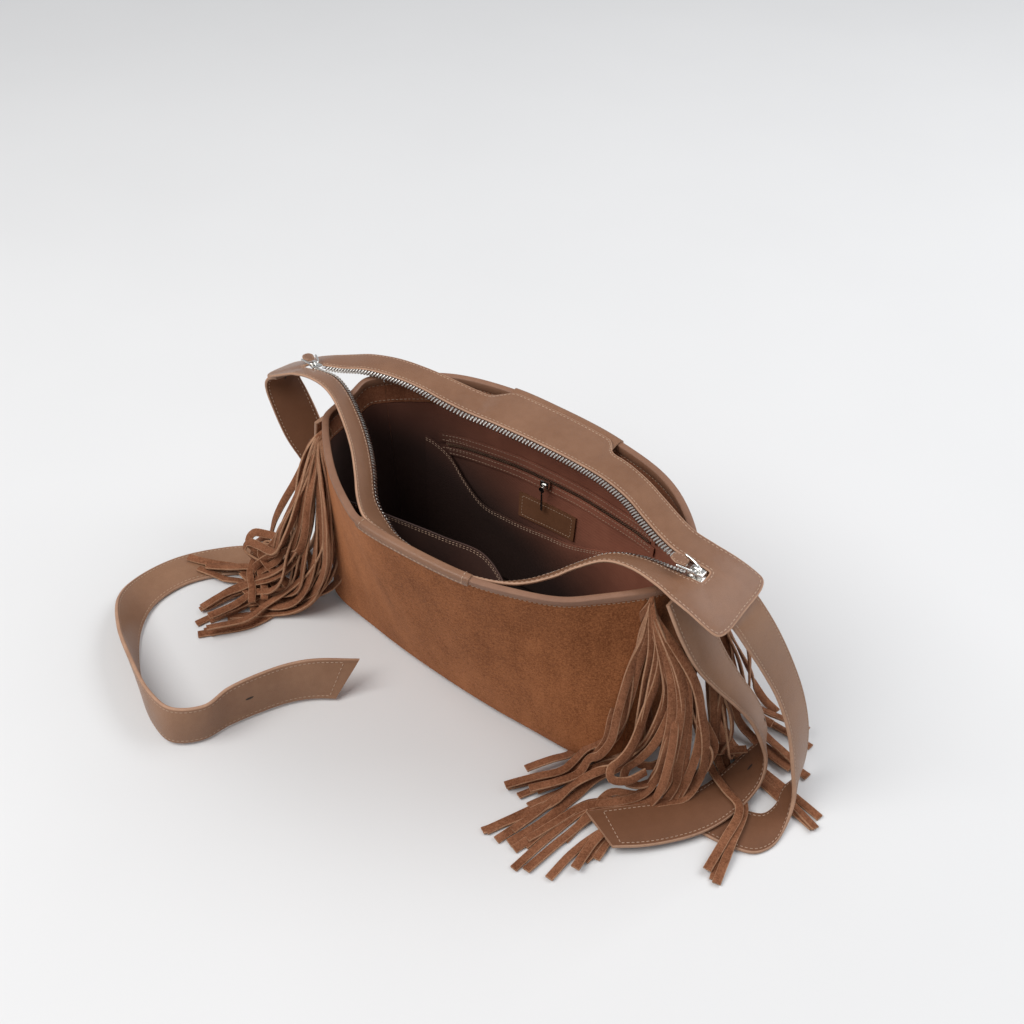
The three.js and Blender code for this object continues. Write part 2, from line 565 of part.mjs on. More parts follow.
// ---------------------------------------------------------------- shoulder straps
// Sections along each strap: [point on one edge, vector across to the other edge].
const STRAPS = {
  back_right_strap: [
    [[200, -30, 180.4], [0, 36, 2]], [[212, -32, 174], [2, 36, -2]], [[220, -27, 158], [6, 35, -6]],
    [[230, -17, 132], [9, 32, -12]], [[242, -10, 105], [8, 30, -18]], [[254, -8, 75], [4, 29, -21]],
    [[264, -11, 42], [-3, 29, -21]], [[271, -16, 18], [-12, 30, -14]], [[274, -29, 6], [-18, 31, -3]],
    [[274, -48, 2.2], [-16, 32, 0]], [[266, -62, 2], [-12, 34, 0]], [[248, -68, 2], [-8, 35, 0]],
    [[225, -70, 2], [-4, 36, 0]], [[206, -70, 2], [-14, 34, 0]],
  ],
  front_right_strap: [
    [[164, -40, 176], [0, 36, -2]], [[177, -41, 152], [5, 35, -6]], [[190, -36, 125], [4, 35, -8]],
    [[202, -26, 103], [4, 33, -13]], [[214, -15, 83], [3, 31, -18]], [[225, -6, 63], [-2, 28, -22]],
    [[234, -2, 42], [-9, 28, -20]], [[240, -2, 26], [-17, 27, -16]], [[243, -10, 14], [-24, 26, -6]],
    [[242, -27, 8], [-27, 24, -1]], [[236, -54, 6.5], [-27, 24, 0]], [[227, -74, 6.5], [-26, 25, 0]],
    [[213, -93, 6.5], [-25, 26, 0]], [[199, -108, 7], [-24, 27, 0.5]], [[183, -121, 7.5], [-33, 14, 1]],
  ],
  back_left_strap: [
    [[-233, -3, 175.4], [1, 33, -6.5]], [[-240.5, -3.5, 172.4], [1.5, 33, -7.5]], [[-245.5, -3.8, 166.5], [7, 32.5, -9]],
    [[-247.5, -3, 157], [16, 31, -9]], [[-244, -2, 140], [22, 28, -4]],
    [[-234, 0, 110], [26, 25, -1]], [[-218, 3, 84], [26, 25, -1]], [[-205, 6, 52], [25, 26, -2]],
    [[-197, 9, 26], [24, 27, -2]], [[-197, 12, 9], [25, 26, -1]], [[-204, 20, 2.8], [26, 25, 0]],
    [[-220, 38, 2.4], [26, 25, 0]], [[-240, 59, 2.3], [26, 25, 0]], [[-252, 72, 2.3], [34, 13, 0]],
  ],
  front_left_strap: [
    [[-173, -31, 175], [0, 36, -2]], [[-175, -28, 140], [-1, 36, -2]], [[-177, -24, 100], [-1, 36, -3]],
    [[-182, -24, 60], [-4, 35, -6]], [[-192, -32, 26], [-9, 34, -8]], [[-206, -46, 7], [-14, 33, -4]],
    [[-226, -62, 2.6], [-18, 31, 0]], [[-248, -82, 2.4], [-24, 27, 0]], [[-266, -108, 2.4], [-31, 19, 0]],
    [[-270, -140, 2.4], [-32, 12, 6]], [[-258, -168, 2.4], [-28, 4, 20]], [[-234, -194, 2], [-16, 0, 31]],
    [[-204, -216, 2], [-8, 2, 35]], [[-172, -233, 2], [-3, 4, 35]], [[-148, -237, 2], [0, 6, 35]],
    [[-131, -222, 2], [2, 8, 35]], [[-124, -199, 2], [-3, 8, 35]], [[-112, -172, 2], [-6, 8, 34]],
    [[-101, -153, 2], [-6, 9, 34]], [[-89, -140, 2], [-5, 11, 34]], [[-75, -130, 2], [6, 26, 28]],
  ],
};
for (const [name, sections] of Object.entries(STRAPS)) {
  const [near, far] = edgesOf(sections, sections.length * 2);
  add(name, ribbon(near, far, STRAP_THICK, 2), LEATHER_TAUPE);
}

// ---------------------------------------------------------------- fringes: one plain sheaf each
// Sections down each sheaf: [centre, half-width vector, half-thickness vector].
const FRINGES = {
  front_right_fringe: [
    [[155, -48, 172], [8, -3, 0], [3, 3, 0]], [[158, -60, 130], [14, -4, 0], [6, 8, 0]],
    [[160, -76, 80], [20, -6, 0], [8, 10, 0]], [[160, -88, 40], [26, -12, 0], [8, 12, 8]],
    [[150, -98, 18], [34, -30, 0], [5, 8, 10]], [[132, -112, 8], [30, -30, 0], [0, 0, 6]],
    [[116, -134, 4], [26, -26, 0], [0, 0, 2.2]],
  ],
  back_right_fringe: [
    [[162, 26, 172], [3, 8, 0], [4, -2, 0]], [[170, 24, 130], [4, 14, 0], [7, -2, 0]],
    [[178, 24, 80], [5, 18, 0], [9, -2, 0]], [[186, 26, 34], [6, 22, 0], [10, -2, 6]],
    [[198, 34, 10], [-4, 25, 0], [6, 2, 8]], [[222, 48, 5], [-6, 20, 0], [0, 0, 3]],
    [[244, 56, 4], [-8, 12, 0], [0, 0, 2]],
  ],
  front_left_fringe: [
    [[-157, -44, 172], [-8, -4, 0], [-3, 4, 0]], [[-168, -58, 130], [-12, -5, 0], [-4, 7, 0]],
    [[-190, -66, 88], [-15, -8, 0], [-6, 9, 0]], [[-212, -64, 56], [-14, -16, 0], [-9, 7, 7]],
    [[-230, -60, 30], [-8, -26, 0], [-7, 2, 11]], [[-246, -60, 16], [-5, -30, 0], [0, 0, 7]],
    [[-264, -66, 9], [-6, -24, 0], [0, 0, 2.5]],
  ],
  back_left_fringe: [
    [[-158, 44, 174], [-4, 8, 0], [-3, -3, 0]], [[-166, 54, 130], [-6, 13, 0], [-6, -5, 0]],
    [[-172, 64, 80], [-8, 16, 0], [-8, -6, 0]], [[-176, 72, 36], [-10, 18, 0], [-8, -6, 5]],
    [[-186, 84, 12], [-4, 20, 0], [-6, 0, 8]], [[-206, 103, 6], [8, 17, 0], [0, 0, 3]],
    [[-226, 114, 4], [8, 10, 0], [0, 0, 2]],
  ],
};
const SHEAF_SIDES = 10;
for (const [name, sections] of Object.entries(FRINGES)) {
  const [centre, wide, deep] = [0, 1, 2].map((k) => spline(sections.map((section) => section[k])));
  const rings = Array.from({ length: 13 }, (_, i) => {
    const t = i / 12;
    const [c, a, b] = [centre.getPoint(t), wide.getPoint(t), deep.getPoint(t)];
    return Array.from({ length: SHEAF_SIDES }, (_, k) => {
      const angle = (2 * Math.PI * k) / SHEAF_SIDES;
      return c.clone().addScaledVector(a, Math.cos(angle)).addScaledVector(b, Math.sin(angle));
    });
  });
  add(name, sweep(rings), SUEDE_BROWN);
}

export default bag;
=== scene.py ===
"""A fringed suede shoulder bag, standing open on its base with its straps lying loose.

Blender works in metres with +Z up. The origin is the centre of the base on the floor, +X runs along the bag
and +Y from its front panel to its back panel. Sizes of the pieces are held in millimetres, as a pattern cutter
writes them, and become metres when a mesh is made.
"""

import logging
import math
from dataclasses import dataclass, field
from enum import Enum
from typing import Callable, Optional, Sequence, Union

import bmesh
import bpy
import numpy as np
from mathutils import Matrix, Vector


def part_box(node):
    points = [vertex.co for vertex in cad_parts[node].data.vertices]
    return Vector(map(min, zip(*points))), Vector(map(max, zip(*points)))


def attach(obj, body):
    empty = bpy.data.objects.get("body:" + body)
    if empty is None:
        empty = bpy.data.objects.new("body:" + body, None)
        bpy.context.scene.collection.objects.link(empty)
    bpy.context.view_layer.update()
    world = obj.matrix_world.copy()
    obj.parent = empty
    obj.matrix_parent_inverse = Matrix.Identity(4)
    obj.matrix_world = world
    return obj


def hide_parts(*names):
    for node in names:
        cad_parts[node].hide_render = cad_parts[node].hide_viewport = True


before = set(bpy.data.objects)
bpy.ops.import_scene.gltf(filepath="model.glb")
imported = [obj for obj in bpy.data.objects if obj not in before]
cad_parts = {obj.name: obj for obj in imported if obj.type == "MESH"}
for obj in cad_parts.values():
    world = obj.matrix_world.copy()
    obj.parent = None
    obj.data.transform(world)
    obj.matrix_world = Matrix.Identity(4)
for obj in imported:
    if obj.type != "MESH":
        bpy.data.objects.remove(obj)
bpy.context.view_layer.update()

log = logging.getLogger("bag")
MM = 0.001
GROOVE = 0.86  # height of a sewing groove, as a share of half the leather's thickness
TURNED = 0.08  # share of a wall's height that is turned under to the base
Array = np.ndarray
Object = bpy.types.Object
Material = bpy.types.Material
Colour = tuple[float, float, float]


class Wall(Enum):
    """The four walls of the bag, in order round it seen from above."""

    FRONT = 0
    RIGHT = 1
    BACK = 2
    LEFT = 3

    @property
    def label(self) -> str:
        """The wall's name as the frame's nodes spell it."""
        return self.name.lower()

    @property
    def is_end(self) -> bool:
        """Whether this wall is a gusset at an end of the bag."""
        return self in (Wall.RIGHT, Wall.LEFT)


# ---------------- shader nodes


class Sock:
    """An output socket of a shader node that can be used in arithmetic."""

    def __init__(self, shader: "Shader", socket: bpy.types.NodeSocket) -> None:
        """Wraps a socket of a shader's node."""
        self.shader = shader
        self.socket = socket

    def _math(self, operation: str, first: "Value", second: "Value") -> "Sock":
        """Adds a Math node that works on two values."""
        return self.shader.node("ShaderNodeMath", {"operation": operation}, {0: first, 1: second})

    def __add__(self, other: "Value") -> "Sock":
        """self + other."""
        return self._math("ADD", self, other)

    __radd__ = __add__

    def __sub__(self, other: "Value") -> "Sock":
        """self - other."""
        return self._math("SUBTRACT", self, other)

    def __rsub__(self, other: "Value") -> "Sock":
        """other - self."""
        return self._math("SUBTRACT", other, self)

    def __mul__(self, other: "Value") -> "Sock":
        """self * other."""
        return self._math("MULTIPLY", self, other)

    __rmul__ = __mul__

    def __truediv__(self, other: "Value") -> "Sock":
        """self / other."""
        return self._math("DIVIDE", self, other)

    def __pow__(self, other: "Value") -> "Sock":
        """self to the power other."""
        return self._math("POWER", self, other)

    def sine(self) -> "Sock":
        """The sine of this value."""
        return self._math("SINE", self, 0.0)

    def clamped(self) -> "Sock":
        """This value held between 0 and 1."""
        return self.shader.node("ShaderNodeClamp", {}, {"Value": self})

    def bands(self, low: float, high: float) -> "Sock":
        """A smooth step of this value from 0 at low to 1 at high."""
        return self.shader.node(
            "ShaderNodeMapRange",
            {"interpolation_type": "SMOOTHSTEP"},
            {"Value": self, "From Min": low, "From Max": high},
        )


Value = Union[Sock, float]


class Shader:
    """A material in the making: one method adds any node, another closes it with a Principled surface."""

    def __init__(self, name: str) -> None:
        """Starts an empty node material."""
        self.material = bpy.data.materials.new(name)
        self.material.use_nodes = True
        self.tree = self.material.node_tree
        self.tree.nodes.clear()

    def node(self, kind: str, settings: dict, inputs: dict, output: Union[int, str] = 0) -> Sock:
        """Adds one node.

        Args:
            kind: The node's type name.
            settings: Properties set first.
            inputs: Values or links by socket name or number.
            output: Which output the result wraps.

        Returns:
            The chosen output, ready for arithmetic.
        """
        made = self.tree.nodes.new(kind)
        for key, value in settings.items():
            setattr(made, key, value)
        for key, value in inputs.items():
            if isinstance(value, Sock):
                self.tree.links.new(value.socket, made.inputs[key])
            else:
                made.inputs[key].default_value = value
        return Sock(self, made.outputs[output])

    def object_place(self) -> Sock:
        """Object coordinates, which are the frame's own metres."""
        return self.node("ShaderNodeTexCoord", {}, {}, "Object")

    def cloth_place(self) -> Sock:
        """The piece's own UV map, in metres along and across it."""
        return self.node("ShaderNodeUVMap", {"uv_map": "cloth"}, {}, "UV")

    def along(self, place: Sock, axis: str) -> Sock:
        """One axis of coordinates."""
        return self.node("ShaderNodeSeparateXYZ", {}, {0: place}, axis)

    def noise(self, place: Sock, scale: float, detail: float = 3.0, rough: float = 0.55) -> Sock:
        """Noise of about 0.5 on average: lumps per metre, octaves, and the strength of the finer ones."""
        values = {"Vector": place, "Scale": scale, "Detail": detail, "Roughness": rough}
        return self.node("ShaderNodeTexNoise", {}, values, 0)

    def stretched(self, place: Sock, scale: Sequence[float]) -> Sock:
        """Scales coordinates along each axis, so that a pattern is drawn out."""
        return self.node("ShaderNodeMapping", {}, {"Vector": place, "Scale": tuple(scale)})

    def mixed(self, share: Value, first: Union[Sock, Colour], second: Union[Sock, Colour]) -> Sock:
        """Mixes two colours by a share."""
        mix = {"data_type": "RGBA", "clamp_factor": True}
        return self.node("ShaderNodeMix", mix, {0: share, 6: _rgba(first), 7: _rgba(second)}, 2)

    def bump(self, height: Sock, distance: float, strength: float = 1.0, base: Optional[Sock] = None) -> Sock:
        """Adds a bump of a height, in metres, on top of another bump if there is one."""
        values = {"Height": height, "Distance": distance, "Strength": strength}
        if base is not None:
            values["Normal"] = base
        return self.node("ShaderNodeBump", {}, values)

    def close(self, **sockets: Union[Sock, float, Colour]) -> Material:
        """Closes the material with a Principled surface.

        Args:
            sockets: Its inputs, with _ in place of spaces.

        Returns:
            The finished material.
        """
        named = {key.replace("_", " "): value for key, value in sockets.items()}
        surface = self.node("ShaderNodeBsdfPrincipled", {}, {k: _rgba(v) for k, v in named.items()})
        out = self.tree.nodes.new("ShaderNodeOutputMaterial")
        self.tree.links.new(surface.socket, out.inputs["Surface"])
        return self.material


def _rgba(value: Union[Sock, float, Colour]) -> Union[Sock, float, tuple]:
    """Gives a bare colour its alpha, and leaves anything else alone."""
    return (*value, 1.0) if isinstance(value, tuple) and len(value) == 3 else value


@dataclass(frozen=True)
class SuedeFinish:
    """Napped suede: cloudy colour where the nap was brushed either way, fine grain, soft sheen, and painted sheen
    paler towards the left where asked.
    """

    name: str
    deep: Colour
    light: Colour
    cloud: float = 16.0
    grain: float = 0.0004
    sheen: float = 0.07
    painted_left_sheen: float = 0.0

    def build(self) -> Material:
        """Makes the material."""
        shader = Shader(self.name)
        place = shader.object_place()
        clouds = shader.noise(place, self.cloud, 4.0, 0.6)
        brushed = shader.noise(shader.stretched(place, (1.0, 1.0, 0.25)), 55.0, 3.0)
        speckle = shader.noise(place, 900.0, 2.0, 0.7)
        fleck = shader.noise(place, 420.0, 2.0, 0.6)
        share = (clouds - 0.5) * 1.2 + (brushed - 0.5) * 0.7
        share = share + (speckle - 0.5) * 1.7 + (fleck - 0.5) * 0.9 + 0.46
        # Painted sheen: the colour pales towards the left end of the bag, standing in for light on the nap there.
        if self.painted_left_sheen:
            share = share + (0.05 - shader.along(place, "X")).bands(0.0, 0.19) * self.painted_left_sheen
        colour = shader.mixed(share.clamped(), self.deep, self.light)
        nap = shader.noise(place, 1500.0, 3.0, 0.75)
        coarse = shader.noise(place, 260.0, 2.0)
        bump = shader.bump(nap, self.grain, 0.9, shader.bump(coarse, self.grain * 1.5, 0.5))
        return shader.close(
            Base_Color=colour,
            Roughness=0.86 + (speckle - 0.5) * 0.2,
            Normal=bump,
            Sheen_Weight=self.sheen,
            Sheen_Roughness=0.45,
            Sheen_Tint=(1.0, 0.72, 0.5),
            Specular_IOR_Level=0.12,
        )


@dataclass(frozen=True)
class LeatherFinish:
    """Smooth leather: faint pebble grain, fine pores, colour a little worn."""

    name: str
    colour: Colour
    worn: Colour
    rough: float = 0.42
    pebble: float = 0.00012
    coat: float = 0.0
    gloss: float = 0.4

    def build(self) -> Material:
        """Makes the material."""
        shader = Shader(self.name)
        place = shader.object_place()
        inputs = {"Vector": place, "Scale": 900.0}
        cells = shader.node("ShaderNodeTexVoronoi", {"feature": "DISTANCE_TO_EDGE"}, inputs, "Distance")
        creases = cells.bands(0.0, 0.16)
        pores = shader.noise(place, 2600.0, 2.0, 0.6)
        clouds = shader.noise(place, 22.0, 5.0, 0.55)
        fine = shader.noise(place, 160.0, 3.0, 0.6)
        share = ((clouds - 0.5) * 1.6 + (fine - 0.5) * 0.7 + 0.45).clamped()
        colour = shader.mixed(share, self.colour, self.worn)
        colour = shader.mixed((1.0 - creases) * 0.12, colour, tuple(c * 0.6 for c in self.colour))
        bump = shader.bump(creases * 0.7 + pores * 0.3, self.pebble, 0.7)
        bump = shader.bump(shader.noise(place, 120.0, 3.0), 0.0003, 0.35, bump)
        return shader.close(
            Base_Color=colour,
            Roughness=self.rough + (clouds - 0.5) * 0.22 + (fine - 0.5) * 0.14,
            Normal=bump,
            Coat_Weight=self.coat,
            Coat_Roughness=0.35,
            Specular_IOR_Level=self.gloss,
        )


@dataclass(frozen=True)
class EdgeFinish:
    """Painted or raw cut edge of leather: streaks along the layers."""

    name: str
    colour: Colour
    dark: Colour

    def build(self) -> Material:
        """Makes the material."""
        shader = Shader(self.name)
        place = shader.object_place()
        fibres = shader.noise(place, 700.0, 4.0, 0.65)
        patches = shader.noise(place, 90.0, 2.0)
        share = ((fibres - 0.5) * 1.4 + (patches - 0.5) * 1.2 + 0.5).clamped()
        return shader.close(
            Base_Color=shader.mixed(share, self.dark, self.colour),
            Roughness=0.6 + (patches - 0.5) * 0.3,
            Normal=shader.bump(fibres, 0.0002, 0.7),
        )


@dataclass(frozen=True)
class WeaveFinish:
    """Woven cloth, read from the piece's own map: twill lines, thread by thread."""

    name: str
    colour: Colour
    light: Colour
    pitch: float = 0.0008
    rough: float = 0.75
    sheen: float = 0.1
    foot_shade: float = 1.0

    def build(self) -> Material:
        """Makes the material."""
        shader = Shader(self.name)
        place = shader.cloth_place()
        turns = 2.0 * math.pi / self.pitch
        across, along = shader.along(place, "X"), shader.along(place, "Y")
        warp = (across * turns).sine()
        twill = ((across + along) * (turns * 0.5)).sine()
        weave = warp * 0.35 + twill * 0.65
        lumps = shader.noise(shader.object_place(), 30.0, 4.0)
        share = (weave * 0.28 + (lumps - 0.5) * 1.5 + 0.42).clamped()
        colour = shader.mixed(share, self.colour, self.light)
        # Painted shade: the colour darkens towards the foot and the left end of the bag, down to foot_shade times
        # the darker colour.
        if self.foot_shade < 1.0:
            where = shader.object_place()
            unshaded = (shader.along(where, "Z") + shader.along(where, "X") * 0.6).bands(0.03, 0.14)
            deep = tuple(c * self.foot_shade for c in self.colour)
            colour = shader.mixed(unshaded, deep, colour)
        return shader.close(
            Base_Color=colour,
            Roughness=self.rough + (lumps - 0.5) * 0.15,
            Normal=shader.bump(weave, 0.00012, 0.6),
            Sheen_Weight=self.sheen,
            Sheen_Roughness=0.4,
            Sheen_Tint=(1.0, 0.8, 0.7),
        )


@dataclass(frozen=True)
class MetalFinish:
    """Polished nickel with fine handling marks."""

    name: str
    colour: Colour
    rough: float = 0.2

    def build(self) -> Material:
        """Makes the material."""
        shader = Shader(self.name)
        place = shader.object_place()
        marks = shader.noise(shader.stretched(place, (1.0, 4.0, 1.0)), 800.0, 3.0)
        smudge = shader.noise(place, 150.0, 2.0)
        return shader.close(
            Base_Color=shader.mixed(smudge, tuple(c * 0.82 for c in self.colour), self.colour),
            Metallic=1.0,
            Roughness=self.rough + (smudge - 0.5) * 0.2,
            Normal=shader.bump(marks, 0.00004, 0.5),
        )


@dataclass(frozen=True)
class ThreadFinish:
    """Waxed sewing thread with its twist."""

    name: str
    colour: Colour

    def build(self) -> Material:
        """Makes the material."""
        shader = Shader(self.name)
        place = shader.object_place()
        ply = shader.noise(place, 1400.0, 2.0)
        soiled = shader.noise(place, 60.0, 2.0)
        share = ((ply - 0.5) * 1.2 + (soiled - 0.5) * 1.0 + 0.5).clamped()
        return shader.close(
            Base_Color=shader.mixed(share, tuple(c * 0.6 for c in self.colour), self.colour),
            Roughness=0.62,
            Normal=shader.bump(ply, 0.0001, 0.6),
        )


class Finishes:
    """Every material of the bag, made once."""

    def __init__(self) -> None:
        """Builds the set."""
        # The panels' suede carries painted sheen, paler towards the left end.
        self.suede = SuedeFinish(
            "suede_brown", (0.142, 0.042, 0.013), (0.385, 0.142, 0.055), cloud=9.0, painted_left_sheen=0.36
        ).build()
        self.facing = SuedeFinish("suede_facing", (0.19, 0.068, 0.033), (0.36, 0.15, 0.08), sheen=0.05).build()
        self.strand = SuedeFinish(
            "suede_strand", (0.125, 0.043, 0.019), (0.32, 0.138, 0.072), cloud=34.0
        ).build()
        self.raw_edge = SuedeFinish(
            "suede_cut_edge", (0.28, 0.14, 0.078), (0.48, 0.27, 0.165), cloud=60.0
        ).build()
        self.leather = LeatherFinish(
            "leather_taupe", (0.18, 0.083, 0.043), (0.25, 0.126, 0.071), rough=0.34
        ).build()
        self.strap_outer = LeatherFinish(
            "leather_strap_outer", (0.225, 0.11, 0.058), (0.31, 0.165, 0.094), rough=0.36
        ).build()
        self.strap_inner = LeatherFinish(
            "leather_strap_inner", (0.138, 0.058, 0.028), (0.185, 0.08, 0.041), rough=0.55, gloss=0.2
        ).build()
        self.binding = LeatherFinish(
            "leather_binding", (0.185, 0.085, 0.048), (0.27, 0.138, 0.083), rough=0.5
        ).build()
        self.edge = EdgeFinish("painted_edge", (0.45, 0.26, 0.165), (0.31, 0.17, 0.105)).build()
        # The lining darkens with painted shade towards the foot and the left end.
        self.lining = WeaveFinish(
            "lining_cloth", (0.225, 0.07, 0.039), (0.41, 0.148, 0.087), foot_shade=0.1
        ).build()
        # A dark copy of the lining: painted shade for the inside of the front slip pocket.
        self.shaded = WeaveFinish(
            "lining_cloth_painted_shade", (0.028, 0.010, 0.007), (0.07, 0.026, 0.016), foot_shade=0.3
        ).build()
        self.pocket_tape = WeaveFinish("pocket_tape_cloth", (0.10, 0.042, 0.028), (0.22, 0.10, 0.068)).build()
        self.tape = WeaveFinish(
            "zip_tape_cloth", (0.085, 0.038, 0.025), (0.16, 0.075, 0.05), pitch=0.0007
        ).build()
        self.nickel = MetalFinish("polished_nickel", (0.86, 0.85, 0.82)).build()
        self.teeth = MetalFinish("zip_teeth_metal", (0.76, 0.72, 0.67), rough=0.28).build()
        self.dark_metal = MetalFinish("dark_nickel", (0.5, 0.33, 0.24), rough=0.5).build()
        self.thread = ThreadFinish("thread_pale", (0.56, 0.38, 0.27)).build()
        self.board = EdgeFinish("base_fibreboard", (0.30, 0.25, 0.20), (0.2, 0.16, 0.12)).build()
        # Painted shade: near black, standing in for the shade inside the cut slits.
        self.slit = EdgeFinish("slit_painted_shade", (0.03, 0.016, 0.011), (0.012, 0.006, 0.004)).build()
        self.two_faced = [self.leather, self.edge, self.leather]


# ---------------- curves


class Spline:
    """A smooth curve through points, with knots spaced by the root of each span."""

    def __init__(self, points: Sequence[Sequence[float]], closed: bool = False) -> None:
        """Holds places in millimetres; a closed curve's last span returns to the first."""
        self.points = np.asarray(points, float)
        self.closed = closed

    def at(self, share: Union[float, Array]) -> Array:
        """Reads the curve.

        Args:
            share: Shares of the spans, 0 at the first point and 1 at the last.

        Returns:
            One place for each share.
        """
        share = np.atleast_1d(np.asarray(share, float))
        count = len(self.points)
        if self.closed:
            place = (share % 1.0) * count
            first = np.floor(place).astype(int)
            corners = [self.points[(first + k) % count] for k in (-1, 0, 1, 2)]
        else:
            place = np.clip(share, 0.0, 1.0) * (count - 1)
            first = np.clip(np.floor(place).astype(int), 0, count - 2)
            ends = 2 * self.points[0] - self.points[1], 2 * self.points[-1] - self.points[-2]
            padded = np.vstack([ends[0], self.points, ends[1]])
            corners = [padded[first + k] for k in (0, 1, 2, 3)]
        weight = (place - first)[:, None]
        p0, p1, p2, p3 = corners
        gaps = [np.maximum(np.linalg.norm(b - a, axis=1, keepdims=True), 1e-6) ** 0.5
                for a, b in ((p0, p1), (p1, p2), (p2, p3))]
        d0, d1, d2 = gaps
        m1 = ((p1 - p0) / d0 - (p2 - p0) / (d0 + d1) + (p2 - p1) / d1) * d1
        m2 = ((p2 - p1) / d1 - (p3 - p1) / (d1 + d2) + (p3 - p2) / d2) * d1
        cube = 2 * p1 - 2 * p2 + m1 + m2
        square = -3 * p1 + 3 * p2 - 2 * m1 - m2
        return ((cube * weight + square) * weight + m1) * weight + p1

    def evenly(self, count: int) -> Array:
        """Points spaced evenly by length, ends included."""
        dense = self.at(np.linspace(0, 1, max(count * 6, 120)))
        return resampled(dense, np.linspace(0, 1, count))


def resampled(points: Array, shares: Array) -> Array:
    """Reads a polyline at shares of its length."""
    run = runs(points)
    run /= run[-1]
    return np.stack([np.interp(shares, run, points[:, k]) for k in range(3)], 1)


def runs(points: Array) -> Array:
    """Length of a polyline up to each of its points."""
    return np.concatenate([[0.0], np.cumsum(np.linalg.norm(np.diff(points, axis=0), axis=1))])


def length_of(points: Array) -> float:
    """Length of a polyline."""
    return float(np.linalg.norm(np.diff(points, axis=0), axis=1).sum())


def unit(vectors: Array) -> Array:
    """Vectors scaled to length 1."""
    return vectors / np.maximum(np.linalg.norm(vectors, axis=-1, keepdims=True), 1e-9)


def tangents(points: Array, ring: bool = False) -> Array:
    """Directions along a row of points."""
    if ring:
        return unit(np.roll(points, -1, 0) - np.roll(points, 1, 0))
    return unit(np.gradient(points, axis=0))


def smooth_step(x: Array, low: float, high: float) -> Array:
    """0 below low, 1 above high, smooth between."""
    t = np.clip((np.asarray(x, float) - low) / (high - low), 0, 1)
    return t * t * (3 - 2 * t)


def ribbon(sections: Sequence, across: float) -> Spline:
    """The curve along a ribbon's sections at a share of its width."""
    return Spline([np.array(p, float) + np.array(w, float) * across for p, w in sections])


# ---------------- meshes


def deselect() -> None:
    """Leaves nothing selected."""
    for obj in bpy.context.selected_objects:
        obj.select_set(False)


@dataclass
class Piece:
    """A finished piece: its object, and how it takes its place in the frame."""

    obj: Object
    body: str = "bag"
    sides: Optional[Sequence[int]] = None

    def settle(
        self, materials: Sequence[Material], slot: str, replaces: Sequence[str] = (), angle: float = 38.0
    ) -> "Piece":
        """Dresses the piece and gives it to the frame.

        Args:
            materials: Its material slots in order.
            slot: The record's slot that it belongs to; not used.
            replaces: Nodes that it stands for.
            angle: Edges sharper than this, in degrees, stay crisp.

        Returns:
            The piece itself.
        """
        data = self.obj.data
        data.materials.clear()
        for material in materials:
            data.materials.append(material)
        if self.sides is not None:
            data.polygons.foreach_set("material_index", np.asarray(self.sides, dtype=np.int32))
        deselect()
        self.obj.select_set(True)
        bpy.context.view_layer.objects.active = self.obj
        bpy.ops.object.shade_smooth_by_angle(angle=math.radians(angle))
        self.obj.select_set(False)
        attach(self.obj, self.body)
        if replaces:
            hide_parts(*replaces)
        log.info("%s: %d faces", self.obj.name, len(data.polygons))
        return self

    def sheet(self, grid: Array, held: str, rests_on: Sequence[str] = ()) -> "Piece":
        """Args:
            grid: Columns by rows of places, in millimetres.
            held: How it is held; not used.
            rests_on: What it lies on or hangs from; not used.

        Returns:
            The piece itself.
        """
        wide = max(length_of(grid[:, j]) for j in range(grid.shape[1])) * MM
        tall = max(length_of(grid[i]) for i in range(grid.shape[0])) * MM
        a, b, c, d = grid[:-1, :-1], grid[1:, :-1], grid[1:, 1:], grid[:-1, 1:]
        cloth = 0.5 * np.linalg.norm(np.cross(c - a, d - b), axis=-1).sum() * MM * MM
        log.info("%s: cut %.0f by %.0f mm", self.obj.name, wide / MM, tall / MM)
        return self


def linked(name: str, data: bpy.types.ID) -> Object:
    """A new object in the scene for some data."""
    obj = bpy.data.objects.new(name, data)
    bpy.context.scene.collection.objects.link(obj)
    return obj


def mesh_piece(
    name: str, verts: Array, faces: Sequence[Sequence[int]], uv: Optional[Array] = None,
    slots: Optional[Sequence[int]] = None, body: str = "bag",
) -> Piece:
    """Makes an object from points in millimetres.

    Args:
        name: The piece's name.
        verts: Places in millimetres.
        faces: Corners of each face.
        uv: A map place for each vertex, in metres.
        slots: A material slot for each face.
        body: The body that it rides on.

    Returns:
        The piece.
    """
    data = bpy.data.meshes.new(name)
    data.from_pydata((verts * MM).tolist(), [], [list(f) for f in faces])
    if uv is not None:
        layer = data.uv_layers.new(name="cloth")
        corner = np.empty(len(data.loops), dtype=np.int32)
        data.loops.foreach_get("vertex_index", corner)
        layer.data.foreach_set("uv", uv[corner].astype(np.float32).ravel())
    mesh = bmesh.new()
    mesh.from_mesh(data)
    bmesh.ops.recalc_face_normals(mesh, faces=mesh.faces)
    mesh.to_mesh(data)
    mesh.free()
    return Piece(linked(name, data), body, slots)


def repeated(points: Array, faces: list, places: Array, turns: Array) -> tuple[Array, list]:
    """Copies of one small shape, each turned by its own matrix and moved to its own place.

    Args:
        points: The shape's points.
        faces: Its faces.
        places: A place for each copy.
        turns: A matrix for each copy, whose columns are the shape's axes.

    Returns:
        All points and all faces.
    """
    verts = np.einsum("kij,pj->kpi", turns, points) + places[:, None]
    copies = [tuple(i + k * len(points) for i in face) for k in range(len(places)) for face in faces]
    return verts.reshape(-1, 3), copies


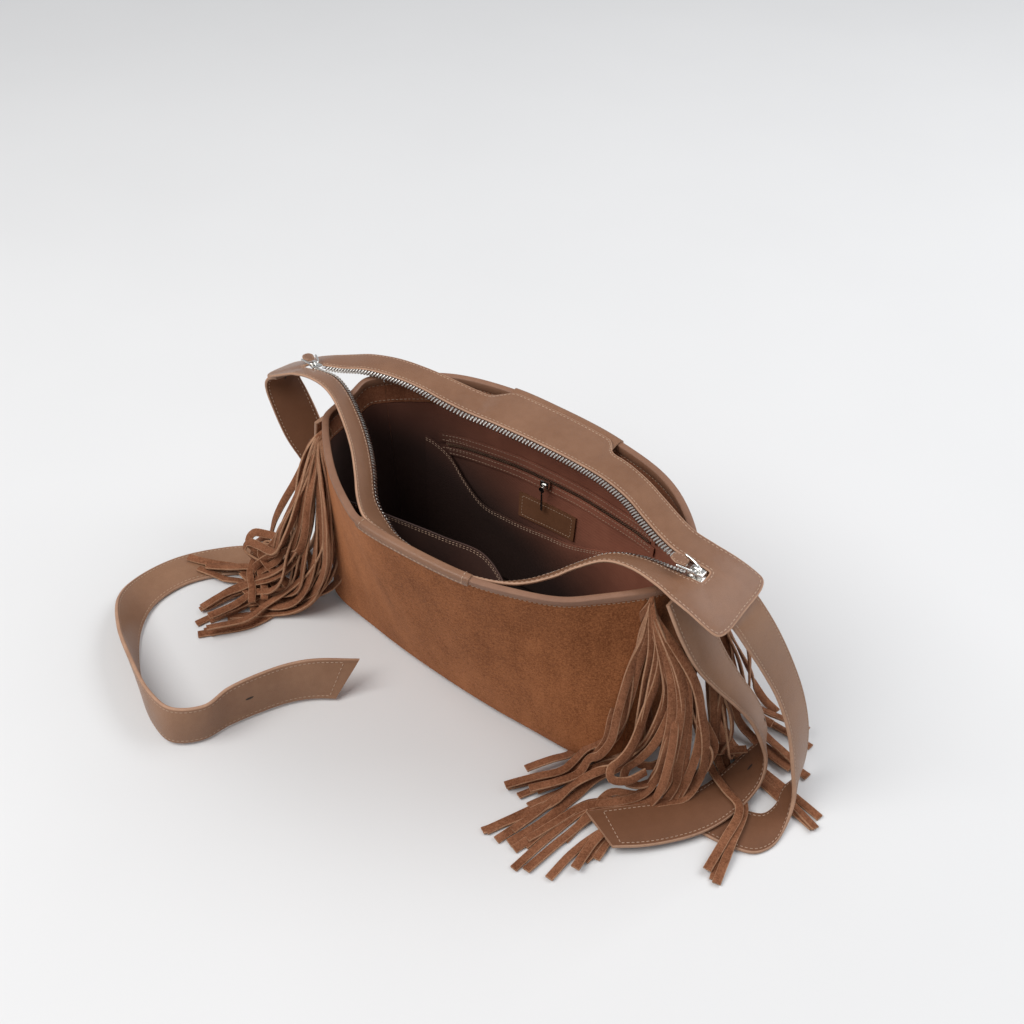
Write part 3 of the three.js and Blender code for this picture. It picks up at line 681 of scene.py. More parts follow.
def _flat(along: Array, across: Array) -> Array:
    """Map places in metres for every pair of two lengths."""
    return np.stack(np.meshgrid(along, across, indexing="ij"), -1).reshape(-1, 2) * MM


def grid_map(grid: Array) -> Array:
    """Lays a grid flat: metres along its columns and up its rows."""
    return _flat(runs(grid.mean(1)), runs(grid.mean(0)))


def slab(name: str, outer: Array, inner: Array, rim_slot: int = 0) -> Piece:
    """Closes two matching grids into a sheet with thickness.

    Args:
        name: The piece's name.
        outer: Columns by rows of places on one side.
        inner: The same on the other side.
        rim_slot: Material slot of the cut rim.

    Returns:
        The piece.
    """
    cols, rows = outer.shape[:2]
    middle = (outer + inner) / 2
    verts = np.concatenate([outer.reshape(-1, 3), inner.reshape(-1, 3)])
    index = np.arange(cols * rows).reshape(cols, rows)
    back = index + cols * rows
    faces: list[tuple[int, ...]] = []
    slots: list[int] = []
    for i in range(cols - 1):
        for j in range(rows - 1):
            faces.append((index[i, j], index[i + 1, j], index[i + 1, j + 1], index[i, j + 1]))
            faces.append((back[i, j], back[i, j + 1], back[i + 1, j + 1], back[i + 1, j]))
            slots += [0, 0]
    rim = [(i, 0) for i in range(cols)] + [(cols - 1, j) for j in range(1, rows)]
    rim += [(i, rows - 1) for i in range(cols - 2, -1, -1)] + [(0, j) for j in range(rows - 2, 0, -1)]
    for (i, j), (k, m) in zip(rim, rim[1:] + rim[:1]):
        faces.append((index[i, j], back[i, j], back[k, m], index[k, m]))
        slots.append(rim_slot)
    flat = grid_map(middle)
    return mesh_piece(name, verts, faces, np.concatenate([flat, flat]), slots)


def skin(name: str, rings: Array, slots: Sequence[int], closed: bool = False, body: str = "bag") -> Piece:
    """Skins matching outlines into a solid.

    Args:
        name: The piece's name.
        rings: Outlines by points, in millimetres.
        slots: Material slot of each side of the outline.
        closed: Whether the last outline joins the first.
        body: The body that it rides on.

    Returns:
        The piece.
    """
    verts, faces, face_slots, uv = skin_parts(rings, slots, closed)
    return mesh_piece(name, verts, faces, uv, face_slots, body)


def skin_parts(rings: Array, slots: Sequence[int], closed: bool = False) -> tuple[Array, list, list, Array]:
    """The bare points, faces, slots and map of a skinned solid."""
    count, n = rings.shape[:2]
    verts = rings.reshape(-1, 3)
    faces: list[tuple[int, ...]] = []
    face_slots: list[int] = []
    last = count if closed else count - 1
    for i in range(last):
        k = (i + 1) % count
        for j in range(n):
            m = (j + 1) % n
            faces.append((i * n + j, i * n + m, k * n + m, k * n + j))
            face_slots.append(slots[j])
    if not closed:
        faces.append(tuple(range(n - 1, -1, -1)))
        faces.append(tuple((count - 1) * n + j for j in range(n)))
        face_slots += [slots[-1]] * 2
    return verts, faces, face_slots, _flat(runs(rings.mean(1)), runs(rings[0]))


def leather_outline(thick: float, crown: float = 0.12, groove: float = 3.0) -> tuple[Array, list[int]]:
    """Outline of a sewn leather strip: share across, millimetres from the near edge, and height.

    Args:
        thick: Thickness over both layers.
        crown: How far the middle swells past the edges, as a share of the thickness.
        groove: Distance of the sewing groove from each edge.

    Returns:
        Rows of (share across, offset in mm, height in mm), and a slot for each side: 0 face, 1 edge, 2 back.
    """
    h = thick / 2
    top = [(0, 0.35, 0.62 * h), (0, 1.0, 0.9 * h), (0, groove - 0.9, h), (0, groove, GROOVE * h),
           (0, groove + 1.0, h * (1 + crown)), (0.5, 0, h * (1 + crown))]
    mirrored = [(1 - s, -o, z) for s, o, z in reversed(top[:-1])]
    face = top + mirrored
    back = [(s, o, -z) for s, o, z in reversed(face)]
    outline = np.array([(0, 0, 0), *face, (1, 0, 0), *back])
    slots = [1, 1] + [0] * (len(face) - 3) + [1, 1] + [1, 1] + [2] * (len(face) - 3) + [1, 1]
    return outline, slots


def strip_rings(near: Array, far: Array, outline: Array, ring: bool = False) -> tuple[Array, Array]:
    """Places a strip's outline between two edges.

    Args:
        near: One edge.
        far: The other edge.
        outline: Rows of (share across, offset in mm, height in mm).
        ring: Whether the strip closes on itself.

    Returns:
        The rings, and the face direction at each.
    """
    middle = (near + far) / 2
    across = unit(far - near)
    face = unit(np.cross(tangents(middle, ring), across))
    wide = np.linalg.norm(far - near, axis=1, keepdims=True)
    rings = [near + across * (s * wide + o) + face * z for s, o, z in outline]
    return np.stack(rings, 1), face


# ---------------- sewing


@dataclass
class Sewing:
    """Rows of stitches, gathered into one piece of thread."""

    name: str
    pitch: float = 3.5
    thread: float = 0.56
    verts: list = field(default_factory=list)
    faces: list = field(default_factory=list)

    def row(self, points: Array, face: Array, pitch: Optional[float] = None) -> None:
        """Sews one row.

        Args:
            points: The row's line, on the leather's surface.
            face: The direction out of the surface at each point.
            pitch: Distance from hole to hole, or None for the usual one.
        """
        step = pitch or self.pitch
        total = length_of(points)
        count = int(total // step)
        if count < 1:
            return
        share = (np.arange(count) + 0.5) / count
        run = runs(points) / max(total, 1e-9)
        middle = resampled(points, share)
        ahead = unit(resampled(points, np.clip(share + 0.3 / count, 0, 1))
                     - resampled(points, np.clip(share - 0.3 / count, 0, 1)))
        out = unit(np.stack([np.interp(share, run, face[:, k]) for k in range(3)], 1))
        side = unit(np.cross(ahead, out))
        half = step * 0.37
        r = self.thread / 2
        for c, a, s, o in zip(middle, ahead, side, out):
            base = len(self.verts)
            self.verts.append(c - a * half - o * r * 0.7)
            for t in (-0.62, 0.62):
                for k in range(6):
                    angle = math.pi * k / 3
                    round_way = s * r * math.cos(angle) + o * (r * math.sin(angle) + 0.1)
                    self.verts.append(c + a * half * t + round_way)
            self.verts.append(c + a * half - o * r * 0.7)
            for k in range(6):
                m = (k + 1) % 6
                self.faces.append((base, base + 1 + m, base + 1 + k))
                self.faces.append((base + 1 + k, base + 1 + m, base + 7 + m, base + 7 + k))
                self.faces.append((base + 13, base + 7 + k, base + 7 + m))

    def finish(self, finishes: Finishes, body: str = "bag", slot: str = "leather") -> Piece:
        """Makes the thread's mesh."""
        piece = mesh_piece(self.name, np.array(self.verts), self.faces, body=body)
        return piece.settle([finishes.thread], slot, angle=60.0)


# ---------------- the soft shell


def _in_spans(runs: Sequence[Sequence[Sequence[float]]]) -> tuple[Spline, Array]:
    """One closed curve through four runs, and the share at which each run starts."""
    points = [p for run in runs for p in run[:-1]]
    starts = np.cumsum([0] + [len(run) - 1 for run in runs]) / len(points)
    return Spline(points, closed=True), starts


@dataclass
class BagForm:
    """The bag's form between the outline of its base and the edge of its mouth."""

    base_round: float = 9.5
    suede: float = 1.6
    lining: float = 1.2
    gap: float = 0.6
    sag: float = 1.1
    base_runs: tuple = (
        ((-153, -41, 0), (-94, -55, 0), (-20, -64, 0), (60, -67, 0), (148, -60, 0)),
        ((148, -60, 0), (159, -42, 0), (161, 0, 0), (158, 36, 0), (146, 51, 0)),
        ((146, 51, 0), (80, 54, 0), (0, 55, 0), (-80, 52, 0), (-148, 46, 0)),
        ((-148, 46, 0), (-159, 32, 0), (-162, 4, 0), (-161, -26, 0), (-153, -41, 0)),
    )
    mouth_runs: tuple = (
        ((-152, -33, 180), (-131, -54, 181), (-105, -76, 183), (-76, -95, 185), (-54, -106, 187),
         (-4, -110, 187.5), (47, -107, 186.5), (73, -99, 184.5), (107, -84, 183), (127, -65, 182), (152, -36, 181)),
        ((152, -36, 181), (157, -18, 178), (157, 4, 178), (150, 22, 181)),
        ((150, 22, 181), (124, 48, 185.5), (95, 65, 187.5), (43, 78, 188.5), (-10, 83, 188.5),
         (-54, 83, 188.5), (-101, 75, 187), (-127, 61, 186.5), (-150, 37, 189)),
        ((-150, 37, 189), (-160.5, 26, 187), (-165, 14, 179.5), (-166, -2, 177.5), (-162, -20, 179),
         (-152, -33, 180)),
    )

    def __post_init__(self) -> None:
        """Draws the two curves."""
        self._base = _in_spans(self.base_runs)
        self._mouth = _in_spans(self.mouth_runs)

    @property
    def lining_depth(self) -> float:
        """Depth of the lining's middle behind the suede's middle."""
        return self.suede / 2 + self.gap + self.lining / 2

    @staticmethod
    def _read(curve: tuple[Spline, Array], wall: Wall, u: Array) -> Array:
        """Reads one of the curves at shares of a wall's length."""
        spline, starts = curve
        place = wall.value + np.atleast_1d(u)
        whole = np.floor(place).astype(int)
        w = whole % 4
        return spline.at(starts[w] + (starts[w + 1] - starts[w]) * (place - whole))

    def foot(self, wall: Wall, u: Array) -> Array:
        """The base's outline."""
        return self._read(self._base, wall, u)

    def mouth(self, wall: Wall, u: Array) -> Array:
        """The mouth's edge."""
        return self._read(self._mouth, wall, u)

    def surface(self, wall: Wall, u: Array, h: Array) -> Array:
        """The suede's middle surface without its sag.

        Args:
            wall: Which wall.
            u: Shares along it, flat.
            h: Heights from 0 at the foot to 1 at the mouth, flat.

        Returns:
            One place for each pair.
        """
        foot, top = self.foot(wall, u), self.mouth(wall, u)
        side = unit(self.foot(wall, u + 0.01) - self.foot(wall, u - 0.01))
        out = np.stack([side[:, 1], -side[:, 0], np.zeros(len(side))], 1)
        turn = np.minimum(h / TURNED, 1) * math.pi / 2
        rise = np.maximum((h - TURNED) / (1 - TURNED), 0)[:, None]
        place = foot + (top - foot) * rise
        low = (rise[:, 0] == 0)[:, None]
        place = place + out * np.where(low, -self.base_round * (1 - np.sin(turn))[:, None], 0)
        z_low = 1.5 + self.base_round * (1 - np.cos(turn))
        z_high = (1.5 + self.base_round) * (1 - rise[:, 0]) + top[:, 2] * rise[:, 0]
        place[:, 2] = np.where(low[:, 0], z_low, z_high)
        return place

    def outward(self, wall: Wall, u: Array, h: Array) -> Array:
        """Direction out of the wall at each pair."""
        step = 0.004
        along = self.surface(wall, u + step, h) - self.surface(wall, u - step, h)
        up = self.surface(wall, u, np.minimum(h + step, 1)) - self.surface(wall, u, np.maximum(h - step, 0))
        return unit(np.cross(along, up))

    def _sag(self, wall: Wall, u: Array, h: Array) -> Array:
        """How far the soft wall stands out from its drawn form, in millimetres."""
        turn = wall.value * 1.7
        long = 1.0 if wall.is_end else 2.2
        wave = (
            np.sin(u * long * 5.1 + turn) * np.cos(h * 4.3 + turn * 0.6)
            + 0.6 * np.sin(u * long * 9.7 - h * 5.2 + turn * 2.1)
            + 0.35 * np.sin(u * long * 17.0 + h * 9.0 + turn * 3.3)
        )
        window = smooth_step(h, 0.1, 0.35) * (1 - smooth_step(h, 0.8, 0.94))
        window = window * smooth_step(u, 0.0, 0.12) * (1 - smooth_step(u, 0.88, 1.0))
        pucker = 0.22 * np.sin(u * (24 if wall.is_end else 70)) * smooth_step(h, 0.86, 0.93)
        pucker = pucker * (1 - smooth_step(h, 0.95, 0.985))
        pucker = pucker * smooth_step(u, 0, 0.05) * (1 - smooth_step(u, 0.95, 1))
        return self.sag * 0.55 * wave * window + pucker

    def grid(self, wall: Wall, us: Array, heights: Union[Array, Callable], depth: float) -> Array:
        """A grid of places on or behind a wall.

        Args:
            wall: Which wall.
            us: Shares along it.
            heights: Heights for every column, or a function of the share that gives one column's heights.
            depth: Millimetres inside the suede's middle.

        Returns:
            Columns by rows of places.
        """
        if callable(heights):
            h = np.stack([heights(u) for u in us])
        else:
            h = np.tile(heights, (len(us), 1))
        u = np.repeat(us[:, None], h.shape[1], 1)
        shape = h.shape
        u, h = u.ravel(), h.ravel()
        place = self.surface(wall, u, h) + self.outward(wall, u, h) * (self._sag(wall, u, h) - depth)[:, None]
        return place.reshape(*shape, 3)

    def layers(self, wall: Wall, us: Array, heights: Union[Array, Callable], near: float, far: float) -> tuple:
        """Two matching grids behind a wall, at two depths."""
        return self.grid(wall, us, heights, near), self.grid(wall, us, heights, far)

    def share_at_x(self, wall: Wall, x: float, h: float = 0.6) -> float:
        """The share along a long wall at which its surface passes a place along the bag."""
        us = np.linspace(0.0, 0.999, 400)
        xs = self.surface(wall, us, np.full(400, h))[:, 0]
        order = np.argsort(xs)
        return float(np.interp(x, xs[order], us[order]))

    @staticmethod
    def height_share(z: float) -> float:
        """The share of a wall's height for a height in millimetres."""
        return TURNED + (1 - TURNED) * (z - 11) / 177


@dataclass
class SoftShell:
    """The suede panels and gussets, their facing and lining, and the bound edge of the mouth."""

    form: BagForm
    finishes: Finishes
    facing_depth: float = 24.0
    top: float = 0.985
    binding_leg: float = 4.0
    binding_skin: float = 0.9

    @property
    def facing_start(self) -> float:
        """The height share at which the facing starts."""
        return 1 - self.facing_depth / 185

    def _shares(self, wall: Wall) -> Array:
        """Shares along a wall from seam to seam."""
        edge, count = (0.002, 44) if wall.is_end else (0.0005, 160)
        return np.linspace(edge, 1 - edge, count)

    def _panel(self, wall: Wall) -> None:
        """One suede wall, turned under at its foot."""
        kind = "gusset" if wall.is_end else "panel"
        heights = np.concatenate([np.linspace(0, TURNED, 8), np.linspace(TURNED, self.top, 62)[1:]])
        us = self._shares(wall)
        outer, inner = self.form.layers(wall, us, heights, -self.form.suede / 2, self.form.suede / 2)
        piece = slab(f"{wall.label}_suede", outer, inner, rim_slot=1)
        piece.settle([self.finishes.suede, self.finishes.raw_edge], "suede", [f"{wall.label}_{kind}"])
        piece.sheet((outer + inner) / 2, "stretched", ["base_panel"])

    def _inside(self, wall: Wall, sewing: Sewing) -> None:
        """The lining of one wall and the facing sewn above it."""
        us = self._shares(wall)
        near = self.form.lining_depth - self.form.lining / 2
        far = self.form.lining_depth + self.form.lining / 2
        foot, wall_top = np.linspace(0, TURNED, 6), np.linspace(TURNED, self.facing_start - 0.005, 40)[1:]
        low = np.concatenate([foot, wall_top])
        high = np.linspace(self.facing_start, self.top, 12)
        for label, heights, finish, slot in (
            ("lining", low, self.finishes.lining, "lining"),
            ("facing", high, self.finishes.facing, "suede"),
        ):
            outer, inner = self.form.layers(wall, us, heights, near, far)
            piece = slab(f"{wall.label}_{label}_cloth", outer, inner)
            piece.settle([finish], slot, [f"{wall.label}_{label}"])
            piece.sheet((outer + inner) / 2, "stretched", [f"{wall.label}_suede"])
            if label == "facing":
                row = self.form.grid(wall, us, np.array([self.facing_start + 0.014]), far)[:, 0]
                sewing.row(row, -self.form.outward(wall, us, np.full(len(us), self.facing_start)))

    def _binding(self, wall: Wall, sewing: Sewing) -> None:
        """A folded strip of leather over the raw edge of one wall, sewn down just below the fold."""
        form = self.form
        inside = form.lining_depth + form.lining / 2 + 0.3
        outside = -form.suede / 2 - 0.2
        skin_thick, leg, back_leg = self.binding_skin, self.binding_leg, self.binding_leg + 1.2
        middle, half = (inside + outside) / 2, (inside - outside) / 2 + skin_thick
        angles = np.linspace(0, math.pi, 11)
        arc = [(middle - half * math.cos(a), 0.2 + 1.3 * math.sin(a) ** 0.7) for a in angles]
        section = [(outside - skin_thick + 0.3, -leg), (outside - skin_thick, -leg + 0.5), *arc,
                   (inside + skin_thick, -back_leg + 0.5), (inside + skin_thick - 0.3, -back_leg),
                   (inside, -back_leg), (inside, -0.4), (outside, -0.4), (outside, -leg)]
        trim, count = (0.002, 46) if wall.is_end else (0.0005, 150)
        us = np.linspace(trim, 1 - trim, count)
        edge, inward, lean = self._rim(wall, us)
        rings = np.stack([edge + inward * x + lean * z for x, z in section], 1)
        piece = skin(f"{wall.label}_bound_edge", rings, [0, 0, *[0] * 11, 0, 0, 1, 1, 1, 1])
        piece.settle([self.finishes.binding, self.finishes.edge], "leather", [f"{wall.label}_binding"])
        piece.sheet(rings[:, [1, 7, 13]], "folded", [f"{wall.label}_suede"])
        sewing.row(edge - inward * (form.suede / 2 + 0.05) - lean * (leg + 1.5), -inward)
        sewing.row(edge + inward * (inside - 0.2) - lean * (back_leg + 1.4), inward)

    def _rim(self, wall: Wall, us: Array) -> tuple[Array, Array, Array]:
        """The mouth's edge, the level direction into the bag, and the direction up the wall."""
        form = self.form
        edge = form.mouth(wall, us)
        side = form.mouth(wall, us + 0.005) - form.mouth(wall, us - 0.005)
        side[:, 2] = 0
        side = unit(side)
        inward = np.stack([-side[:, 1], side[:, 0], np.zeros(len(us))], 1)
        top = np.full(len(us), 1.0)
        return edge, inward, unit(form.surface(wall, us, top) - form.surface(wall, us, top - 0.1))

    def _base(self) -> None:
        """The underside's suede, its hidden board and the lining on it."""
        for node, finish in (("base_panel", self.finishes.suede), ("base_board", self.finishes.board),
                             ("base_lining", self.finishes.lining)):
            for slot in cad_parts[node].material_slots:
                slot.material = finish

    def build(self) -> None:
        """Makes every piece of the shell."""
        sewing = Sewing("mouth_stitching", pitch=3.4, thread=0.5)
        for wall in Wall:
            self._panel(wall)
            self._inside(wall, sewing)
            self._binding(wall, sewing)
        sewing.finish(self.finishes)
        self._base()
        log.info("shell done")


# ---------------- the zip band

FRONT_STRIP = (
    ((-206, -10, 195), (-3, 26, -10)), ((-190, -10, 199), (-4, 27, -12)), ((-175, -10, 198), (-7, 27, -11)),
    ((-159, -15, 196), (-8, 27, -11)), ((-131, -33, 193), (-6, 27, -11)), ((-109, -50, 190), (-5, 27, -12)),
    ((-89, -69, 188), (-4, 27, -14)), ((-70, -88, 186), (-2, 25, -21)), ((-55, -98.5, 184.5), (-3, 30, -27)),
    ((-40, -101, 183), (0, 25, -29)), ((0, -103, 183), (0, 25, -32)), ((42, -101, 183), (-4, 26, -30)),
    ((71, -87, 180.5), (-9, 24, -20.5)),
    ((88, -68, 181.5), (-12, 21, -18)), ((98, -54, 185), (-12, 21, -18)), ((113, -41, 190), (-9, 24, -15)),
    ((132, -39, 193), (-5, 27, -12)), ((157, -44, 194), (-2, 29, -6)), ((170, -48, 193), (0, 30, 0)),
)
BACK_STRIP = (
    ((172, 12, 197), (-1, -29, -2)), ((152, 14, 199), (-1, -30, -2)), ((137, 20, 200), (-2, -30, -3)),
    ((118, 30, 200), (-3, -30, -3)), ((98, 41, 199), (-4, -29, -3)), ((72, 51, 198), (-3, -30, -3)),
    ((40, 58, 195), (0, -30, -3)), ((0, 61, 195), (0, -30, -4)), ((-40, 60, 196), (1, -30, -4)),
    ((-66, 57, 198), (4, -29, -5)), ((-86, 55, 200), (6, -29, -4)), ((-116, 55, 200), (8, -28, -2)),
    ((-147, 55, 197), (11, -28, 0)), ((-174, 52, 192), (12, -27, 2)), ((-192, 49, 186), (8, -27, 2)),
    ((-209, 46, 180), (1, -27, 4)),
)


@dataclass
class ZipStrip:
    """One long half of the band: its free edge, and the way from there to the teeth."""

    sections: tuple

    def at(self, shares: Array, across: float) -> Array:
        """Places along the strip at a share of its width."""
        return ribbon(self.sections, across).at(shares)

    def under(self, shares: Array) -> Array:
        """Direction down through the leather."""
        near = self.at(shares, 0.6)
        return -unit(np.cross(tangents(near), self.at(shares, 0.9) - near))


@dataclass
class ZipBand:
    """The leather band that carries the zip, with its tapes, teeth and tongues."""

    form: BagForm
    finishes: Finishes
    thick: float = 2.2
    leather_share: float = 0.82
    tooth_pitch: float = 3.0
    sewn_front: tuple = (-53.0, 47.0)
    sewn_back: tuple = (52.0, -52.0)

    def __post_init__(self) -> None:
        """Names the two strips."""
        self.front = ZipStrip(FRONT_STRIP)
        self.back = ZipStrip(BACK_STRIP)

    def _rim_way(self, wall: Wall, x: float) -> tuple[Array, Array, Array]:
        """The mouth's edge at a place along the bag, the way into the bag and the way up the wall there."""
        us = np.linspace(0, 0.999, 500)
        curve = self.form.mouth(wall, us)
        order = np.argsort(curve[:, 0])
        u = np.array([float(np.interp(x, curve[order, 0], us[order]))])
        side = self.form.mouth(wall, u + 0.005)[0] - self.form.mouth(wall, u - 0.005)[0]
        inward = unit(np.array([-side[1], side[0], 0.0]))
        one = np.ones(1)
        lean = unit(self.form.surface(wall, u, one) - self.form.surface(wall, u, one * 0.9))[0]
        return self.form.mouth(wall, u)[0], inward, lean

    def _free_edge(self, strip: ZipStrip, t: Array) -> Array:
        """A strip's outer edge; the back one swells out to the mouth's edge where it is sewn down."""
        line = strip.at(t, 0.0)
        if strip is self.front:
            return line
        x = line[:, 0]
        share = smooth_step(x, -60, -46) * (1 - smooth_step(x, 46, 60))
        ways = [self._rim_way(Wall.BACK, place) for place in x]
        target = np.array([edge + inward * 6.2 + lean * 3.8 for edge, inward, lean in ways])
        return line + (target - line) * share[:, None]

    def _edges(self) -> tuple[Spline, Spline]:
        """The band's outer edge and the edge of its window, as two matching closed curves."""
        share = self.leather_share
        t = np.linspace(0, 1, 91)
        front_end = self.front.at(1.0, share)[0]
        back_start = self.back.at(0.0, share)[0]
        back_end = self.back.at(1.0, share)[0]
        front_start = self.front.at(0.0, share)[0]
        right = [
            ((200, -50.5, 183.5), (178, front_end[1], front_end[2])),
            ((208, -49, 180.5), (179, front_end[1] + 0.5, front_end[2] - 0.3)),
            ((211, -43, 181), (179.5, front_end[1] + 3, front_end[2])),
            ((212, -19, 183), (179.5, (front_end[1] + back_start[1]) / 2, 194.3)),
            ((212, 3, 185.5), (179.5, back_start[1] - 3, 195)),
            ((209, 10, 187.5), (179, back_start[1] - 0.5, 195)),
            ((201, 11.5, 190.5), (178, back_start[1], back_start[2])),
        ]
        left = [
            ((-228, 43, 172), (-210, back_end[1], back_end[2])),
            ((-240, 40, 165), (-213, back_end[1] - 0.5, back_end[2] - 0.5)),
            ((-244, 30, 167), (-214, back_end[1] - 2, back_end[2])),
            ((-244, 13, 171), (-214, (back_end[1] + front_start[1]) / 2, 185)),
            ((-241, -3, 176), (-214, front_start[1] + 2, front_start[2] - 1)),
            ((-236, -9, 179), (-213, front_start[1] + 0.5, front_start[2] - 0.5)),
            ((-224, -11, 186), (-210, front_start[1], front_start[2])),
        ]
        back = self._free_edge(self.back, t)
        halves = ((self.front.at(t, 0.0), back), (self.front.at(t, share), self.back.at(t, share)))
        curves = [[*front, *(p[k] for p in right), *rear, *(p[k] for p in left)]
                  for k, (front, rear) in enumerate(halves)]
        return Spline(curves[0], closed=True), Spline(curves[1], closed=True)

    @staticmethod
    def _tab_height(x: Array, y: Array) -> Array:
        """Height of the right tab's middle surface, which droops smoothly past the zip's end."""
        stops = (160, 172, 180, 190, 200, 208, 214)
        front = np.interp(x, stops, (193.2, 192.9, 191.6, 188.4, 184.2, 180.9, 178.8))
        back = np.interp(x, stops, (197.5, 197.0, 196.0, 193.9, 191.0, 188.2, 186.4))
        return front + (back - front) * (y + 48) / 60

    def _level(self, places: Array, heights: Array) -> Array:
        """How far places on the right tab, at heights over its middle, rise to lie on its smooth surface."""
        share = smooth_step(places[..., 0], 166, 180)
        wanted = self._tab_height(places[..., 0], places[..., 1]) + heights
        return share * (wanted - places[..., 2])

    def _leather(self, sewing: Sewing) -> None:
        """The band itself, with its rows of stitches near both edges."""
        outer, window = self._edges()
        shares = np.arange(760) / 760
        near, far = outer.at(shares), window.at(shares)
        outline, slots = leather_outline(self.thick, crown=0.1, groove=2.6)
        rings, face = strip_rings(near, far, outline, ring=True)
        rings[..., 2] += self._level(rings, np.broadcast_to(outline[:, 2], rings.shape[:2]))
        for edge in (near, far):
            edge[:, 2] += self._level(edge, 0.0)
        piece = skin("band_leather", rings, slots, closed=True)
        piece.settle(self.finishes.two_faced, "leather", ["zip_band"])
        piece.sheet(np.stack([near, (near + far) / 2, far], 1), "stretched", ["front_suede", "back_suede"])
        across = unit(far - near)
        wide = np.linalg.norm(far - near, axis=1, keepdims=True)
        height = self.thick / 2 * GROOVE
        for reach, side in ((2.6, 1), (wide - 2.6, 1), (2.6, -1)):
            line = near + across * reach + face * (height * side)
            sewing.row(np.vstack([line, line[:1]]), np.vstack([face, face[:1]]) * side)

    def _tongue(self, label: str, strip: ZipStrip, wall: Wall, span: tuple, sewing: Sewing) -> None:
        """The leather strip from the band to a long panel, folded over the mouth's edge."""
        t = np.linspace(0, 1, 300)
        free = self._free_edge(strip, t)
        drop = strip.under(t) * 2.3
        tucked = free + (strip.at(t, self.leather_share) - free) * 0.16 + drop
        free = free + drop
        order = np.argsort(free[:, 0])
        columns = []
        for x in np.linspace(*span, 70):
            edge, inward, lean = self._rim_way(wall, x)
            path = [[np.interp(x, free[order, 0], curve[order, k]) for k in range(3)]
                    for curve in (tucked, free)]
            fold = ((3.6, 2.1), (1.2, 2.5), (-1.5, 1.8), (-2.5, -0.8), (-2.2, -5.2))
            path += [edge + inward * into + lean * up for into, up in fold]
            columns.append(Spline(path).evenly(30))
        grid = np.stack(columns)
        out = unit(np.cross(np.gradient(grid, axis=0), np.gradient(grid, axis=1)))
        out = out if out[35, 15, 2] > 0 else -out
        piece = slab(f"{label}_tongue_leather", grid + out * 0.7, grid - out * 0.7, rim_slot=1)
        piece.settle([self.finishes.leather, self.finishes.edge], "leather", [f"{label}_tongue"])
        piece.sheet(grid, "folded", ["band_leather", f"{label}_suede"])
        sewing.row(grid[2:-2, -4] + out[2:-2, -4] * 0.75, out[2:-2, -4])
        for column in (3, -4) if wall is Wall.FRONT else ():
            sewing.row(grid[column, 8:-3] + out[column, 8:-3] * 0.75, out[column, 8:-3])

    def _tape(self, label: str, strip: ZipStrip) -> None:
        """The woven tape under the leather's edge, with a bead at the teeth."""
        shares = np.linspace(0.014, 0.986, 220)
        under = strip.under(shares)
        stops = ((0.54, 1.85), (0.66, 1.85), (0.77, 1.8), (0.845, 1.2), (0.925, 0.1))
        outer = np.stack([strip.at(shares, s) + under * depth for s, depth in stops], 1)
        inner = outer + under[:, None] * 0.7
        piece = slab(f"{label}_tape_cloth", outer, inner)
        piece.settle([self.finishes.tape], "zip_tape", [f"{label}_zip_tape"])
        piece.sheet((outer + inner) / 2, "stretched", ["band_leather"])

    def _tooth(self) -> tuple[Array, list]:
        """A tooth's points in millimetres and its faces: +X along the zip, +Y out of the tape."""
        cube = box((1.45, 2.4, 2.5))
        edit_faces(cube, lambda f: f.normal.y > 0.9)
        bpy.ops.mesh.extrude_region_move(TRANSFORM_OT_translate={"value": (0, 0.0021, 0)})
        bpy.ops.transform.resize(value=(0.68, 1, 0.56))
        bevel_all(0.2, 1)
        points = np.array([v.co[:] for v in cube.data.vertices]) / MM
        faces = [tuple(p.vertices) for p in cube.data.polygons]
        bpy.data.objects.remove(cube)
        return points, faces

    def _teeth(self, label: str, strip: ZipStrip, start: float) -> None:
        """A row of metal teeth clamped on the tape's bead."""
        points, faces = self._tooth()
        dense = np.linspace(0.022, 0.978, 760)
        line = strip.at(dense, 0.965)
        run = runs(line)
        wanted = np.arange(start * self.tooth_pitch, run[-1], self.tooth_pitch)
        shares = np.interp(wanted, run, dense)
        under = strip.under(shares)
        ahead = tangents(strip.at(shares, 0.965))
        across = unit(np.cross(-under, ahead))
        jaw = strip.at(shares, 1.0) - strip.at(shares, 0.9)
        side = np.where((across * jaw).sum(1, keepdims=True) < 0, -1.0, 1.0)
        turns = np.stack([ahead * side, across * side, np.cross(ahead, across)], 2)
        verts, all_faces = repeated(points, faces, strip.at(shares, 0.905) + under * 0.3, turns)
        piece = mesh_piece(f"{label}_metal_teeth", verts, all_faces)
        piece.settle([self.finishes.teeth], "nickel", [f"{label}_zip_teeth"], angle=30.0)

    def build(self) -> None:
        """Makes every piece of the band."""
        sewing = Sewing("band_stitching")
        self._leather(sewing)
        self._tongue("front", self.front, Wall.FRONT, self.sewn_front, sewing)
        self._tongue("back", self.back, Wall.BACK, self.sewn_back, sewing)
        for label, strip, start in (("front", self.front, 0.0), ("back", self.back, 0.5)):
            self._tape(label, strip)
            self._teeth(label, strip, start)
        sewing.finish(self.finishes)
        log.info("zip band done")


# ---------------- hand modelling


